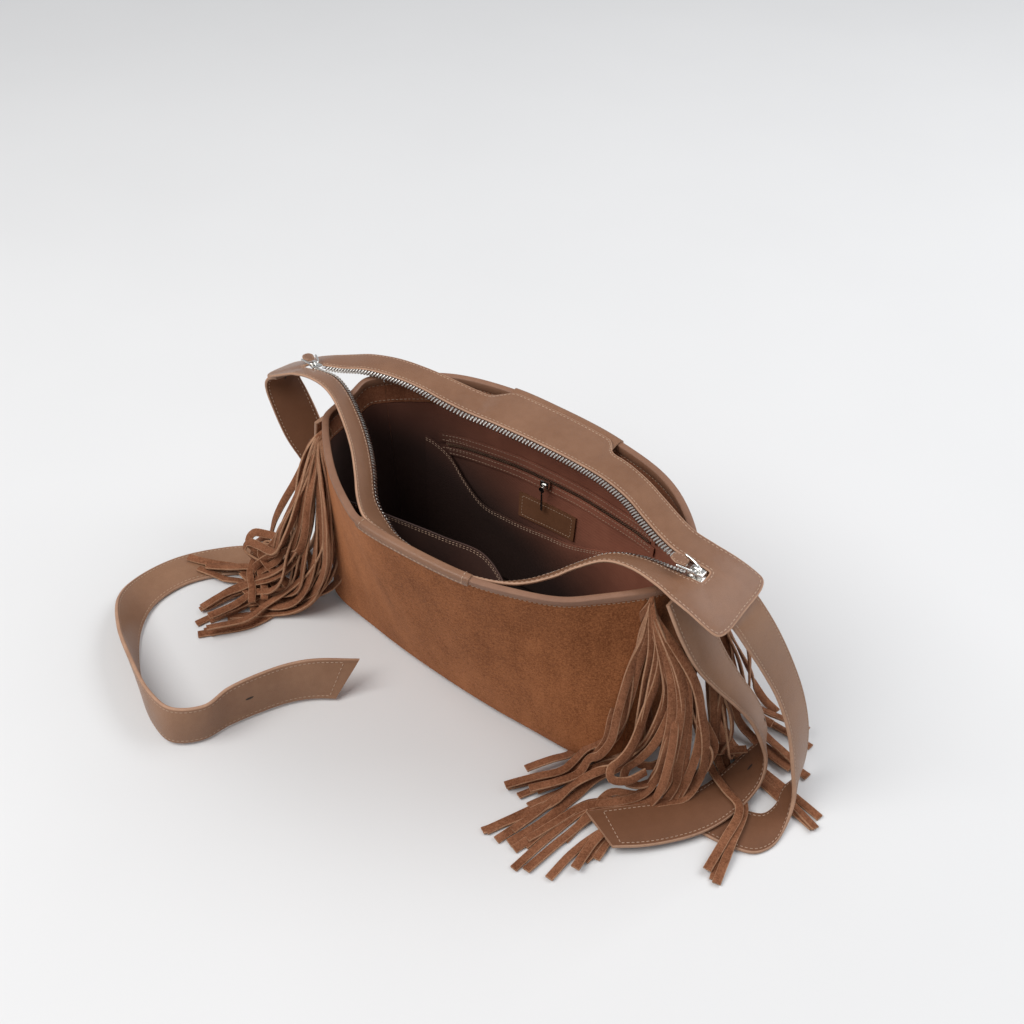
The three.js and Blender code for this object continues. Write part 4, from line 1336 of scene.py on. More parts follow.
def edit_faces(obj: Object, wanted: Callable[[bmesh.types.BMFace], bool]) -> None:
    """Enters edit mode with only the wanted faces selected."""
    bpy.ops.object.mode_set(mode="EDIT")
    bpy.ops.mesh.select_mode(type="FACE")
    bpy.ops.mesh.select_all(action="DESELECT")
    mesh = bmesh.from_edit_mesh(obj.data)
    for face in mesh.faces:
        face.select_set(wanted(face))
    mesh.select_flush_mode()
    bmesh.update_edit_mesh(obj.data)


def bevel_all(offset: float, segments: int) -> None:
    """Rounds every edge by an offset in millimetres and leaves edit mode."""
    bpy.ops.mesh.select_all(action="SELECT")
    bpy.ops.mesh.bevel(offset=offset * MM, segments=segments, affect="EDGES")
    bpy.ops.object.mode_set(mode="OBJECT")


def join_as(parts: Sequence[Object], name: str) -> Object:
    """Joins objects into one with a new name."""
    deselect()
    for part in parts:
        part.select_set(True)
    bpy.context.view_layer.objects.active = parts[0]
    if len(parts) > 1:
        bpy.ops.object.join()
    parts[0].name = name
    parts[0].data.name = name
    parts[0].select_set(False)
    return parts[0]


def placed(obj: Object, matrix: Matrix) -> Object:
    """Puts a piece in its place through its mesh, and leaves its object at the origin."""
    obj.data.transform(matrix @ obj.matrix_world)
    obj.matrix_world = Matrix.Identity(4)
    return obj


def box(size: Sequence[float], centre: Sequence[float] = (0, 0, 0)) -> Object:
    """A sharp block from its sides and its middle, in millimetres."""
    deselect()
    bpy.ops.mesh.primitive_cube_add(size=1.0, location=[c * MM for c in centre], scale=[s * MM for s in size])
    bpy.ops.object.transform_apply(location=True, rotation=False, scale=True)
    return bpy.context.object


def block(size: Sequence[float], centre: Sequence[float], bevel: float, taper: float = 1.0) -> Object:
    """A block with rounded edges.

    Args:
        size: Its sides in millimetres.
        centre: Its middle in millimetres.
        bevel: How much its edges are rounded, in millimetres.
        taper: Width of its left end as a share of the other's.

    Returns:
        The object.
    """
    obj = box(size, centre)
    edit_faces(obj, lambda f: f.normal.x < -0.9)
    bpy.ops.transform.resize(value=(1, taper, 1))
    bevel_all(bevel, 2)
    return obj


def wire(points: Array, radius: float, sides: int = 12) -> tuple[Array, list]:
    """Points and faces of a round wire along a path, with domed ends."""
    ahead = tangents(points)
    up = np.array([0.0, 0.0, 1.0])
    rings = []
    for p, a in zip(points, ahead):
        s = unit(np.cross(a, up))
        o = np.cross(s, a)
        angles = 2 * math.pi * np.arange(sides) / sides
        rings.append(p + radius * (np.outer(np.cos(angles), s) + np.outer(np.sin(angles), o)))
    rings = np.stack(rings)
    first = points[0] + (rings[0] - points[0]) * 0.6 - ahead[0] * radius * 0.5
    last = points[-1] + (rings[-1] - points[-1]) * 0.6 + ahead[-1] * radius * 0.5
    verts, faces, _, _ = skin_parts(np.concatenate([first[None], rings, last[None]]), [0] * sides)
    return verts, faces


@dataclass
class ZipSlider:
    """A slider with its bridge, the wire bail on it, and the leather tab the bail holds."""

    finishes: Finishes
    side: str
    place: tuple
    turn: float
    tilt: float
    lift: float
    pull_turn: float
    length: float = 11.0
    wide: float = 9.0
    narrow: float = 6.5
    plate: float = 1.5
    channel: float = 3.4
    wire_thick: float = 1.7
    arm: float = 13.0
    root: float = 8.0
    tip: float = 12.5

    def _bridge(self) -> Object:
        """The arched bridge that the bail's wire passes under."""
        half = self.plate + self.channel / 2
        x = np.linspace(-1, 1, 15)
        path = np.stack([x * (self.length / 2 - 1.6), 0 * x, half + 2.6 - 2.6 * np.abs(x) ** 3.2], 1)
        rings = []
        for p, a in zip(path, tangents(path)):
            up = np.array([-a[2], 0, a[0]])
            side = np.array([0.0, 1.0, 0.0])
            rings.append([p + side * y + up * z for y, z in
                          ((-1.3, -0.3), (-1.3, 0.3), (-0.9, 0.6), (0.9, 0.6), (1.3, 0.3), (1.3, -0.3))])
        verts, faces, _, _ = skin_parts(np.array(rings), [0] * 6)
        return mesh_piece("bridge", verts, faces).obj

    def _body_matrix(self) -> Matrix:
        """The slider's place in the frame."""
        turned = Matrix.Rotation(self.turn, 4, "Z") @ Matrix.Rotation(self.tilt, 4, "Y")
        return Matrix.Translation(Vector(self.place) * MM) @ turned

    def _pull_matrix(self) -> Matrix:
        """The pull's place in the frame."""
        rise = self.plate + self.channel / 2 + 1.0
        turned = Matrix.Rotation(self.pull_turn, 4, "Z") @ Matrix.Rotation(self.lift, 4, "Y")
        return self._body_matrix() @ Matrix.Translation((0, 0, rise * MM)) @ turned

    def _bail(self) -> None:
        """The two-pronged wire bail."""
        a, r, t = self.arm, self.root, self.tip
        path = Spline([
            (-a, -t / 2, 0.6), (-a * 0.55, -r / 2 - 1.2, 0.5), (-3, -r / 2, 0), (-0.6, -r / 2 + 1, 0),
            (0, -r / 2 + 2.4, 0), (0, r / 2 - 2.4, 0), (-0.6, r / 2 - 1, 0), (-3, r / 2, 0),
            (-a * 0.55, r / 2 + 1.2, 0.5), (-a, t / 2, 0.6),
        ]).evenly(60)
        verts, faces = wire(path, self.wire_thick / 2)
        piece = mesh_piece(f"{self.side}_bail", verts, faces, body=f"{self.side}_pull")
        placed(piece.obj, self._pull_matrix())
        piece.settle([self.finishes.nickel], "nickel", [f"{self.side}_pull_bail"], angle=50.0)

    def _tab(self) -> None:
        """The small leather finger tab, cut to a point and sewn round."""
        half = self.tip / 2 - self.wire_thick / 2 - 0.5
        x = np.array([-8.0, -9.0, -self.arm - 2, -self.arm - 5.5, -self.arm - 7])
        y = np.array([half - 2.1, half - 1.4, half, half - 1.2, half - 2.4])
        share = np.linspace(0, 1, 26)
        xs = np.interp(share, np.linspace(0, 1, 5), x)
        ys = np.interp(share, np.linspace(0, 1, 5), y)
        near = np.stack([xs, -ys, np.full(26, 0.5)], 1)
        far = np.stack([xs, ys, np.full(26, 0.5)], 1)
        outline, slots = leather_outline(1.8, crown=0.15, groove=1.4)
        rings, face = strip_rings(near, far, outline)
        name = f"{self.side}_finger_tab"
        piece = skin(name, rings, slots, body=f"{self.side}_pull")
        placed(piece.obj, self._pull_matrix())
        piece.settle(self.finishes.two_faced, "leather",
                     [f"{self.side}_pull_tab"])
        sewing = Sewing(f"{self.side}_tab_stitching", pitch=2.2, thread=0.42)
        across = unit(far - near)
        for edge, sign in ((near, 1), (far, -1)):
            for lift in (1, -1):
                sewing.row(edge + across * 1.4 * sign + face * (GROOVE * 0.9 * lift), face * lift)
        thread = sewing.finish(self.finishes, body=f"{self.side}_pull")
        thread.obj.data.transform(self._pull_matrix())

    def build(self) -> None:
        """Makes the slider and its pull."""
        gap = self.plate / 2 + self.channel / 2
        size, taper = (self.length, self.wide, self.plate), self.narrow / self.wide
        parts = [block(size, (0, 0, gap), 0.35, taper), block(size, (0, 0, -gap), 0.35, taper),
                 block((3, 2.4, self.channel + self.plate), (self.length / 2 - 2, 0, 0), 0.3), self._bridge()]
        obj = join_as(parts, f"{self.side}_slider_metal")
        placed(obj, self._body_matrix())
        piece = Piece(obj, f"{self.side}_slider_body")
        piece.settle([self.finishes.nickel], "nickel", [f"{self.side}_slider"], angle=35.0)
        self._bail()
        self._tab()


# ---------------- straps

STRAP_SECTIONS: dict[str, tuple] = {
    "back_right_strap": (
        ((200, -30, 180.4), (0, 36, 2)), ((212, -32, 174), (2, 36, -2)), ((220, -27, 158), (6, 35, -6)),
        ((230, -17, 132), (9, 32, -12)), ((242, -10, 105), (8, 30, -18)), ((254, -8, 75), (4, 29, -21)),
        ((264, -11, 42), (-3, 29, -21)), ((271, -16, 18), (-12, 30, -14)), ((274, -29, 6), (-18, 31, -3)),
        ((274, -48, 2.2), (-16, 32, 0)), ((266, -62, 2), (-12, 34, 0)), ((248, -68, 2), (-8, 35, 0)),
        ((225, -70, 2), (-4, 36, 0)), ((206, -70, 2), (-14, 34, 0)),
    ),
    "front_right_strap": (
        ((164, -40, 176), (0, 36, -2)), ((177, -41, 152), (5, 35, -6)), ((190, -36, 125), (4, 35, -8)),
        ((202, -26, 103), (4, 33, -13)), ((214, -15, 83), (3, 31, -18)), ((225, -6, 63), (-2, 28, -22)),
        ((234, -2, 42), (-9, 28, -20)), ((240, -2, 26), (-17, 27, -16)), ((243, -10, 14), (-24, 26, -6)),
        ((242, -27, 8), (-27, 24, -1)), ((236, -54, 6.5), (-27, 24, 0)), ((227, -74, 6.5), (-26, 25, 0)),
        ((213, -93, 6.5), (-25, 26, 0)), ((199, -108, 7), (-24, 27, 0.5)), ((183, -121, 7.5), (-33, 14, 1)),
    ),
    "back_left_strap": (
        ((-233, -3, 175.4), (1, 33, -6.5)), ((-240.5, -3.5, 172.4), (1.5, 33, -7.5)),
        ((-245.5, -3.8, 166.5), (7, 32.5, -9)), ((-247.5, -3, 157), (16, 31, -9)),
        ((-244, -2, 140), (22, 28, -4)), ((-234, 0, 110), (26, 25, -1)), ((-218, 3, 84), (26, 25, -1)), ((-205, 6, 52), (25, 26, -2)),
        ((-197, 9, 26), (24, 27, -2)), ((-197, 12, 9), (25, 26, -1)), ((-204, 20, 2.8), (26, 25, 0)),
        ((-220, 38, 2.4), (26, 25, 0)), ((-240, 59, 2.3), (26, 25, 0)), ((-252, 72, 2.3), (34, 13, 0)),
    ),
    "front_left_strap": (
        ((-170, -25, 171), (0, 34, -2)), ((-174, -25, 140), (-1, 35, -2)), ((-177, -24, 100), (-1, 36, -3)),
        ((-182, -24, 60), (-4, 35, -6)), ((-192, -32, 26), (-9, 34, -8)), ((-206, -46, 7), (-14, 33, -4)),
        ((-226, -62, 2.6), (-18, 31, 0)), ((-248, -82, 2.4), (-24, 27, 0)), ((-266, -108, 2.4), (-31, 19, 0)),
        ((-270, -140, 2.4), (-32, 12, 6)), ((-258, -168, 2.4), (-28, 4, 20)), ((-234, -194, 2), (-16, 0, 31)),
        ((-204, -216, 2), (-8, 2, 35)), ((-172, -233, 2), (-3, 4, 35)), ((-148, -237, 2), (0, 6, 35)),
        ((-131, -222, 2), (2, 8, 35)), ((-124, -199, 2), (-3, 8, 35)), ((-112, -172, 2), (-6, 8, 34)),
        ((-101, -153, 2), (-6, 9, 34)), ((-89, -140, 2), (-5, 11, 34)), ((-75, -130, 2), (6, 26, 28)),
    ),
}


class StrapFace(Enum):
    """Which face of a strap's ribbon is the outer leather."""

    OUTER_FIRST = 1
    INNER_FIRST = 2
    BOTH_OUTER = 3


@dataclass
class Strap:
    """A flat strap of two layers of leather, sewn along both edges, with painted edges and slits."""

    finishes: Finishes
    name: str
    face: StrapFace
    slits: tuple = ()
    thick: float = 3.4

    def build(self) -> None:
        """Makes the strap, its stitching and its slits."""
        sections = STRAP_SECTIONS[self.name]
        shares = np.linspace(0, 1, 24 * len(sections))
        near, far = ribbon(sections, 0.0).at(shares), ribbon(sections, 1.0).at(shares)
        outline, slots = leather_outline(self.thick, crown=0.06, groove=3.1)
        rings, face = strip_rings(near, far, outline)
        rings[..., 2] += np.clip(0.15 - rings[..., 2].min(1), 0, None)[:, None]
        piece = skin(f"{self.name}_leather", rings, slots)
        outer, inner = self.finishes.strap_outer, self.finishes.strap_inner
        first = inner if self.face is StrapFace.INNER_FIRST else outer
        second = outer if self.face in (StrapFace.INNER_FIRST, StrapFace.BOTH_OUTER) else inner
        piece.settle([first, self.finishes.edge, second], "leather", [self.name])
        piece.sheet(np.stack([near, (near + far) / 2, far], 1), "laid", ["base_panel"])
        self._sew(near, far, face)
        for k, (share, across) in enumerate(self.slits):
            self._slit(k, near, far, face, share, across)

    def _sew(self, near: Array, far: Array, face: Array) -> None:
        """Two rows of stitches on each face, and one across the free end."""
        sewing = Sewing(f"{self.name}_stitching", pitch=3.6, thread=0.56)
        across = unit(far - near)
        height = self.thick / 2 * GROOVE
        for sign in (1, -1):
            a = near + across * 3.1 + face * height * sign
            b = far - across * 3.1 + face * height * sign
            sewing.row(a[:-8], face[:-8] * sign)
            sewing.row(b[:-8], face[:-8] * sign)
            t = np.linspace(0.09, 0.91, 14)[:, None]
            k = -9
            sewing.row(near[k] + (far[k] - near[k]) * t + face[k] * (self.thick / 2 + 0.05) * sign,
                       np.repeat(face[k][None] * sign, 14, 0))
        sewing.finish(self.finishes)

    def _slit(self, k: int, near: Array, far: Array, face: Array, share: float, side: float) -> None:
        """A short slit cut through the strap, drawn as a sunken lens with a raised lip and painted near black for
        the shade in the cut.
        """
        i = int(share * (len(near) - 1))
        middle = near[i] + (far[i] - near[i]) * side
        ahead = tangents((near + far) / 2)[i]
        across = unit((far - near)[i])
        for sign, label in ((1, "face"), (-1, "back")):
            angles = np.linspace(0, 2 * math.pi, 25)[:-1]
            rings = []
            for grow, lift in ((1.0, -0.1), (1.0, 0.10), (0.72, 0.14), (0.5, 0.06)):
                rings.append([
                    middle + ahead * 3.4 * grow * math.cos(a) + across * 0.9 * grow * math.sin(a)
                    + face[i] * sign * (self.thick / 2 * 1.06 + lift)
                    for a in angles
                ])
            piece = skin(f"{self.name}_slit_{k}_{label}", np.array(rings), [0] * 24)
            piece.settle([self.finishes.slit], "leather")


# ---------------- fringes


@dataclass
class Fringe:
    """A corner fringe: strands cut from suede, sewn into the corner seam, ending on the floor."""

    finishes: Finishes
    name: str
    paths: tuple
    count: int
    root: tuple
    outward: tuple
    seed: int
    over: Optional[str] = None
    wide: float = 7.0
    thick: float = 1.9
    steps: int = 72

    def __post_init__(self) -> None:
        """Works out the way off the bag and the level way along the seam's face."""
        self.out = unit(np.array(self.outward, float))
        self.level = np.array([-self.out[1], self.out[0], 0.0])

    def _floor(self, line: Array) -> Array:
        """Height of what lies below each place of a strand: the floor, or a strap lying on it."""
        ground = np.full(len(line), 0.3)
        if self.over is None:
            return ground
        middle = ribbon(STRAP_SECTIONS[self.over], 0.5).at(np.linspace(0, 1, 300))
        lying = middle[middle[:, 2] < 9]
        gap = np.linalg.norm(line[:, None, :2] - lying[None, :, :2], axis=2)
        nearest = gap.argmin(1)
        return ground + (lying[nearest, 2] + 2.0) * (1 - smooth_step(gap.min(1), 17, 30))

    def _line(self, key: int, stray: float, random: np.random.Generator) -> Array:
        """A strand's middle line: a drawn one, or a neighbour that strays from it."""
        path = [self.root, *self.paths[key]]
        line = resampled(Spline(path).at(np.linspace(0, 1, 240)), np.linspace(0, 1, self.steps))
        t = np.linspace(0, 1, self.steps)
        loose = smooth_step(t, 0.04, 0.6)[:, None]
        turn, beat = random.uniform(0, 2 * math.pi, 3), random.uniform(0.5, 1.4, 3)
        wander = [np.sin(2 * math.pi * b * t + a) - math.sin(a) for a, b in zip(turn, beat)]
        wander = np.stack(wander, 1)
        sewn = smooth_step(t, 0.0, 0.15)[:, None]
        shift = self.level * random.uniform(-6, 6) * sewn + np.array([0, 0, random.uniform(-3, 3)])
        line = line + (wander * np.array([6.0, 6.0, 3.0]) * loose + shift) * stray
        spread = (line[-1] - line[int(self.steps * 0.6)]) * random.uniform(-0.3, -0.02) * stray
        line = line + spread * smooth_step(t, 0.6, 1.0)[:, None]
        depth = random.uniform(-5.5, 1.5) * stray
        standing = smooth_step(line[:, 2], 8, 60)[:, None]
        return line + self.out * depth * standing * smooth_step(t, 0.0, 0.2)[:, None]

    def _strand(self, line: Array, random: np.random.Generator) -> Array:
        """The outlines of one strand along its middle line, turned without sudden twists."""
        ahead = tangents(line)
        side = np.empty_like(line)
        side[0] = unit(self.level - ahead[0] * (self.level @ ahead[0]))
        for i in range(1, self.steps):
            side[i] = unit(side[i - 1] - ahead[i] * (side[i - 1] @ ahead[i]))
        normal = np.cross(ahead, side)
        flat = unit(np.cross(ahead, np.array([0.0, 0.0, 1.0])) + 1e-6)
        turn = np.unwrap(2 * np.arctan2((flat * normal).sum(1), (flat * side).sum(1))) / 2
        turn -= math.pi * np.round(turn[-1] / math.pi)
        lying = 1 - smooth_step(line[:, 2] - self._floor(line), 6, 34)
        t = np.linspace(0, 1, self.steps)
        start = random.uniform(-0.55, 0.55)
        roll = start + 0.55 * np.sin(2 * math.pi * (t * random.uniform(0.5, 1.1) + random.uniform()))
        angle = (turn + random.uniform(-0.25, 0.25)) * lying + roll * (1 - lying)
        c, s = np.cos(angle)[:, None], np.sin(angle)[:, None]
        side, normal = side * c + normal * s, normal * c - side * s
        w, h, r = self.wide / 2 * random.uniform(0.86, 1.05), self.thick / 2, 0.4
        half = ((-w, -h + r), (-w, h - r), (-w + r, h), (w - r, h))
        outline = (*half, *((-x, -z) for x, z in half))
        gathered = (0.4 + 0.6 * smooth_step(t, 0.0, 0.16))[:, None]
        rings = np.stack([line + side * x * gathered + normal * z for x, z in outline], 1)
        lift = np.clip(self._floor(line) - rings[..., 2].min(1), 0, None)
        rings[..., 2] += lift[:, None]
        return rings

    def build(self) -> None:
        """Makes all the strands as one piece of cut suede."""
        random = np.random.default_rng(self.seed)
        verts, faces, slots, uvs = [], [], [], []
        total, base = 0.0, 0
        for k in range(self.count):
            stray = 0.0 if k < len(self.paths) else random.uniform(0.7, 1.2)
            line = self._line(k % len(self.paths), stray, random)
            rings = self._strand(line, random)
            points, strand_faces, strand_slots, uv = skin_parts(rings, [1, 1, 0, 1, 1, 1, 0, 1])
            verts.append(points)
            faces += [tuple(i + base for i in f) for f in strand_faces]
            slots += strand_slots
            uvs.append(uv)
            base += len(points)
            total += length_of(line)
        piece = mesh_piece(f"{self.name}_strands", np.concatenate(verts), faces, np.concatenate(uvs), slots)
        piece.settle([self.finishes.strand, self.finishes.raw_edge], "suede", [self.name], angle=50.0)
        length = total / self.count * MM
        log.info("%s: %d strands of %.0f mm", self.name, self.count, length / MM)


FRONT_RIGHT_PATHS = (
    ((153, -41, 174), (150, -44, 150), (148, -46, 126), (146, -50, 96), (143, -53, 74), (139, -57, 45),
     (129, -61, 26),
     (122, -63, 16), (117, -70, 4), (115, -82, 2), (102, -100, 2), (87, -119, 2)),
    ((153, -42, 172), (155, -44, 146), (151, -48, 116), (149, -51, 88), (147, -55, 66), (144, -59, 44),
     (136, -64, 28),
     (124, -66, 14), (120, -78, 4), (110, -100, 2), (99, -121, 2)),
    ((154, -43, 170), (159, -45, 136), (158, -48, 102), (158, -52, 70), (157, -54, 46), (153, -59, 28),
     (137, -67, 12),
     (127, -82, 4), (124, -102, 2), (112, -130, 2), (98, -160, 2)),
    ((154, -41, 169), (169, -46, 128), (174, -46, 100), (172, -51, 72), (165, -57, 46), (150, -65, 26),
     (132, -77, 10),
     (125, -97, 3), (118, -130, 2), (109, -162, 2)),
    ((155, -42, 167), (174, -44, 130), (180, -46, 98), (178, -50, 72), (173, -58, 50), (166, -64, 36),
     (160, -70, 27),
     (162, -74, 19), (171, -68, 14), (178, -56, 13)),
    ((155, -43, 166), (178, -45, 124), (184, -48, 86), (183, -54, 50), (180, -60, 20), (175, -69, 7),
     (161, -85, 4),
     (145, -100, 3), (134, -128, 2), (124, -161, 2)),
    ((156, -41, 164), (181, -46, 128), (190, -46, 96), (192, -48, 66), (193, -52, 36), (193, -54, 14),
     (190, -66, 5),
     (176, -82, 3), (157, -98, 3), (148, -130, 2), (141, -170, 2)),
    ((156, -42, 162), (186, -43, 118), (193, -45, 80), (196, -48, 40), (196, -53, 12), (195, -65, 4),
     (182, -83, 3),
     (168, -110, 3), (160, -138, 2), (158, -166, 2)),
    ((157, -43, 161), (184, -41, 110), (194, -40, 80), (202, -37, 62), (208, -34, 46), (206, -36, 26),
     (199, -44, 8),
     (195, -54, 3), (187, -76, 3), (178, -100, 2), (172, -120, 2), (170, -139, 2)),
)
BACK_RIGHT_PATHS = (
    ((155, 24, 172), (168, 20, 124), (178, 10, 78), (190, 2, 36), (208, -12, 9), (225, -23, 6),
     (241, -33, 6.5), (250, -69, 7), (256, -100, 2)),
    ((157, 26, 172), (170, 24, 124), (180, 20, 80), (190, 16, 38), (204, 10, 9), (226, 2, 3), (258, -8, 2),
     (290, -17, 2)),
    ((158, 27, 170), (170, 30, 126), (180, 32, 84), (190, 32, 40), (204, 30, 10), (226, 28, 3), (248, 25, 2),
     (266, 22, 2)),
    ((157, 30, 168), (168, 36, 124), (176, 42, 80), (184, 46, 38), (196, 50, 10), (216, 52, 3), (238, 51, 2),
     (255, 49, 2)),
    ((156, 31, 166), (164, 40, 124), (170, 50, 80), (178, 56, 38), (188, 58, 10), (198, 56, 3), (211, 53, 2)),
    ((160, 22, 150), (176, 6, 126), (190, -8, 100), (199, -18, 72), (204, -22, 48), (204, -18, 26),
     (200, -8, 8),
     (206, 4, 3), (214, 14, 2)),
    ((162, 24, 140), (180, 10, 112), (196, -4, 84), (208, -12, 56), (214, -14, 34), (212, -6, 14), (210, 6, 4),
     (222, 14, 2)),
)
FRONT_LEFT_PATHS = (
    ((-156, -35, 173), (-172, -42, 140), (-176, -51, 104), (-177, -59, 82), (-174, -62, 60), (-170, -62, 40),
     (-172, -66, 20), (-190, -72, 11), (-210, -74, 8), (-236, -70, 8), (-262, -79, 7), (-287, -86, 5)),
    ((-156, -36, 171), (-169, -40, 136), (-168, -46, 104), (-170, -55, 70), (-178, -63, 42), (-191, -69, 24),
     (-207, -76, 12), (-215, -84, 7), (-224, -98, 5), (-234, -124, 3)),
    ((-156, -37, 169), (-161, -43, 126), (-163, -52, 88), (-168, -62, 54), (-173, -69, 28), (-188, -74, 12),
     (-208, -85, 5), (-217, -111, 2), (-225, -137, 2)),
    ((-157, -35, 168), (-150, -46, 112), (-145, -52, 76), (-145, -57, 52), (-154, -63, 28), (-171, -69, 9),
     (-192, -78, 5), (-216, -77, 7), (-232, -74, 9)),
    ((-157, -36, 166), (-142, -53, 98), (-141, -57, 64), (-150, -62, 34), (-167, -67, 11), (-179, -85, 3),
     (-187, -111, 2), (-215, -145, 2)),
    ((-157, -37, 165), (-165, -50, 118), (-170, -60, 80), (-178, -66, 58), (-199, -64, 50), (-214, -64, 43),
     (-216, -68, 34), (-203, -68, 26), (-190, -64, 19), (-181, -62, 12)),
    ((-158, -35, 163), (-172, -48, 112), (-184, -58, 76), (-197, -62, 50), (-212, -62, 40), (-220, -60, 30),
     (-216, -64, 20), (-206, -70, 12), (-194, -76, 7), (-184, -84, 4)),
    ((-158, -36, 161), (-168, -50, 116), (-180, -60, 80), (-190, -66, 52), (-205, -70, 37), (-216, -74, 22),
     (-216, -80, 12), (-206, -88, 6), (-196, -98, 3)),
    ((-156, -36, 164), (-152, -47, 116), (-150, -54, 80), (-151, -60, 52), (-158, -66, 28), (-174, -73, 9),
     (-198, -84, 4), (-216, -98, 2)),
    ((-155, -37, 163), (-147, -49, 112), (-144, -56, 78), (-145, -62, 48), (-151, -70, 22), (-165, -80, 7),
     (-186, -96, 3), (-208, -114, 2)),
)
BACK_LEFT_PATHS = (
    ((-154, 40, 172), (-164, 50, 130), (-170, 60, 84), (-176, 68, 40), (-186, 78, 10), (-204, 92, 3),
     (-224, 104, 2)),
    ((-154, 42, 170), (-162, 56, 126), (-166, 68, 80), (-168, 76, 36), (-176, 90, 9), (-190, 108, 3),
     (-206, 116, 2)),
    ((-152, 44, 168), (-158, 60, 122), (-160, 74, 76), (-160, 84, 34), (-166, 98, 8), (-174, 112, 3),
     (-184, 118, 2)),
)


# ---------------- pockets


BACK_POCKET_MOUTH = (
    (-124, 131), (-117, 128), (-102.5, 117), (-88, 96), (-70, 80), (-44, 77), (-7, 78.5), (22, 81), (66, 96),
    (103, 112), (122, 121),
)


@dataclass
class Inside:
    """What is sewn to the lining: slip pockets, a leather patch and a zipped pocket."""

    form: BagForm
    finishes: Finishes

    def __post_init__(self) -> None:
        """Works out the first free depth inside the lining."""
        self.depth = self.form.lining_depth + self.form.lining / 2 + self.form.gap

    def _shares(self, x0: float, x1: float, count: int) -> Array:
        """Shares along the back wall from one place along the bag to another."""
        return np.linspace(self.form.share_at_x(Wall.BACK, x1), self.form.share_at_x(Wall.BACK, x0), count)

    def _on_back(
        self, name: str, span: tuple, near: float, far: float, cells: tuple, bulge: float = 0.0
    ) -> tuple:
        """A flat piece on the back wall.

        Args:
            name: The piece's name.
            span: (x0, x1, z0, z1) in millimetres.
            near: Depth of its far side behind the first free surface.
            far: Depth of its face.
            cells: Columns and rows.
            bulge: How far its middle swells.

        Returns:
            The piece, its face grid and the direction out of it.
        """
        x0, x1, z0, z1 = span
        us = self._shares(x0, x1, cells[0])
        hs = np.linspace(self.form.height_share(z0), self.form.height_share(z1), cells[1])
        back, front = self.form.layers(Wall.BACK, us, hs, self.depth + near, self.depth + far)
        if bulge:
            i, j = np.meshgrid(np.linspace(0, 1, cells[0]), np.linspace(0, 1, cells[1]), indexing="ij")
            swell = np.minimum(1, 6 * np.minimum(i, 1 - i)) * np.minimum(1, 4 * np.minimum(j, 1 - j))
            front = front + unit(front - back) * bulge * swell[..., None]
        return slab(name, front, back), front, unit(front - back)

    @staticmethod
    def _below_hem(grid: Array, gap: float) -> Array:
        """The line a few millimetres below a cloth's top edge."""
        turned = grid[:, ::-1]
        steps = np.linalg.norm(np.diff(turned, axis=1), axis=2).cumsum(1)
        lengths = np.concatenate([np.zeros((len(grid), 1)), steps], 1)
        return np.array([[np.interp(gap, run, line[:, k]) for k in range(3)]
                         for run, line in zip(lengths, turned)])

    @staticmethod
    def _pocket_height(x: Array) -> Array:
        """Height of the back slip pocket's mouth: steep at the left, gentle at the right."""
        line = Spline([(place, 0, height) for place, height in BACK_POCKET_MOUTH]).evenly(200)
        return np.interp(x, line[:, 0], line[:, 2])

    def _back_slip(self, sewing: Sewing) -> None:
        """The scooped slip pocket across the back wall."""
        us = np.linspace(self.form.share_at_x(Wall.BACK, 118), self.form.share_at_x(Wall.BACK, -124), 110)
        mid = self.form.surface(Wall.BACK, us, np.full(110, 0.6))[:, 0]
        mouths = dict(zip(us, self.form.height_share(self._pocket_height(mid))))

        def rows(u: float) -> Array:
            """Heights of one column, from the seam at its foot to the mouth."""
            return 0.1 + (mouths[u] - 0.1) * np.linspace(0, 1, 30)

        near = self.depth + 0.4
        back, front = self.form.layers(Wall.BACK, us, rows, near, near + self.form.lining)
        slack = np.sin(np.linspace(0, math.pi, 110))[:, None, None]
        slack = slack * smooth_step(np.linspace(0, 1, 30), 0.5, 1.0)[:, None]
        push = unit(front - back) * slack * 4.0
        piece = slab("back_slip_cloth", front + push, back + push)
        piece.settle([self.finishes.lining], "lining", ["back_slip_pocket"])
        piece.sheet(front, "hung", ["back_lining_cloth"])
        out = unit(front - back)
        for gap in (1.5, 3.4):
            sewing.row(self._below_hem(front + push, gap), out[:, -2], 3.0)

    def _front_slip(self, sewing: Sewing) -> None:
        """The slip pocket that stands open from the front wall, with a double-sewn mouth."""
        foot = Spline([(-112, -44, 30), (-60, -52, 30), (0, -56, 30), (60, -56, 30), (104, -48, 30)])
        mouth = Spline([(-118, -52, 136), (-72, -50, 141), (-26, -44, 140), (8, -40, 138), (36, -50, 128),
                        (58, -60, 106), (106, -60, 84)])
        t = np.linspace(0, 1, 90)
        low, high = foot.at(t), mouth.at(t)
        rise = np.linspace(0, 1, 34)
        grid = low[:, None] + (high - low)[:, None] * rise[None, :, None]
        grid[..., 1] += (np.sin(rise * math.pi) * 1.5)[None] * np.sin(t * 9)[:, None]
        along = np.gradient(grid, axis=0)
        up = np.gradient(grid, axis=1)
        face = unit(np.cross(along, up))
        half = self.form.lining / 2
        piece = slab("front_slip_cloth", grid + face * half, grid - face * half)
        # The pocket cloth takes the dark copy of the lining, painted shade for the pocket's inside.
        piece.settle([self.finishes.shaded], "lining", ["front_slip_pocket"])
        piece.sheet(grid, "hung", ["front_lining_cloth"])
        for gap in (1.5, 3.4):
            for sign in (1, -1):
                line = self._below_hem(grid, gap)
                sewing.row(line + face[:, -2] * half * sign, face[:, -2] * sign, 3.0)

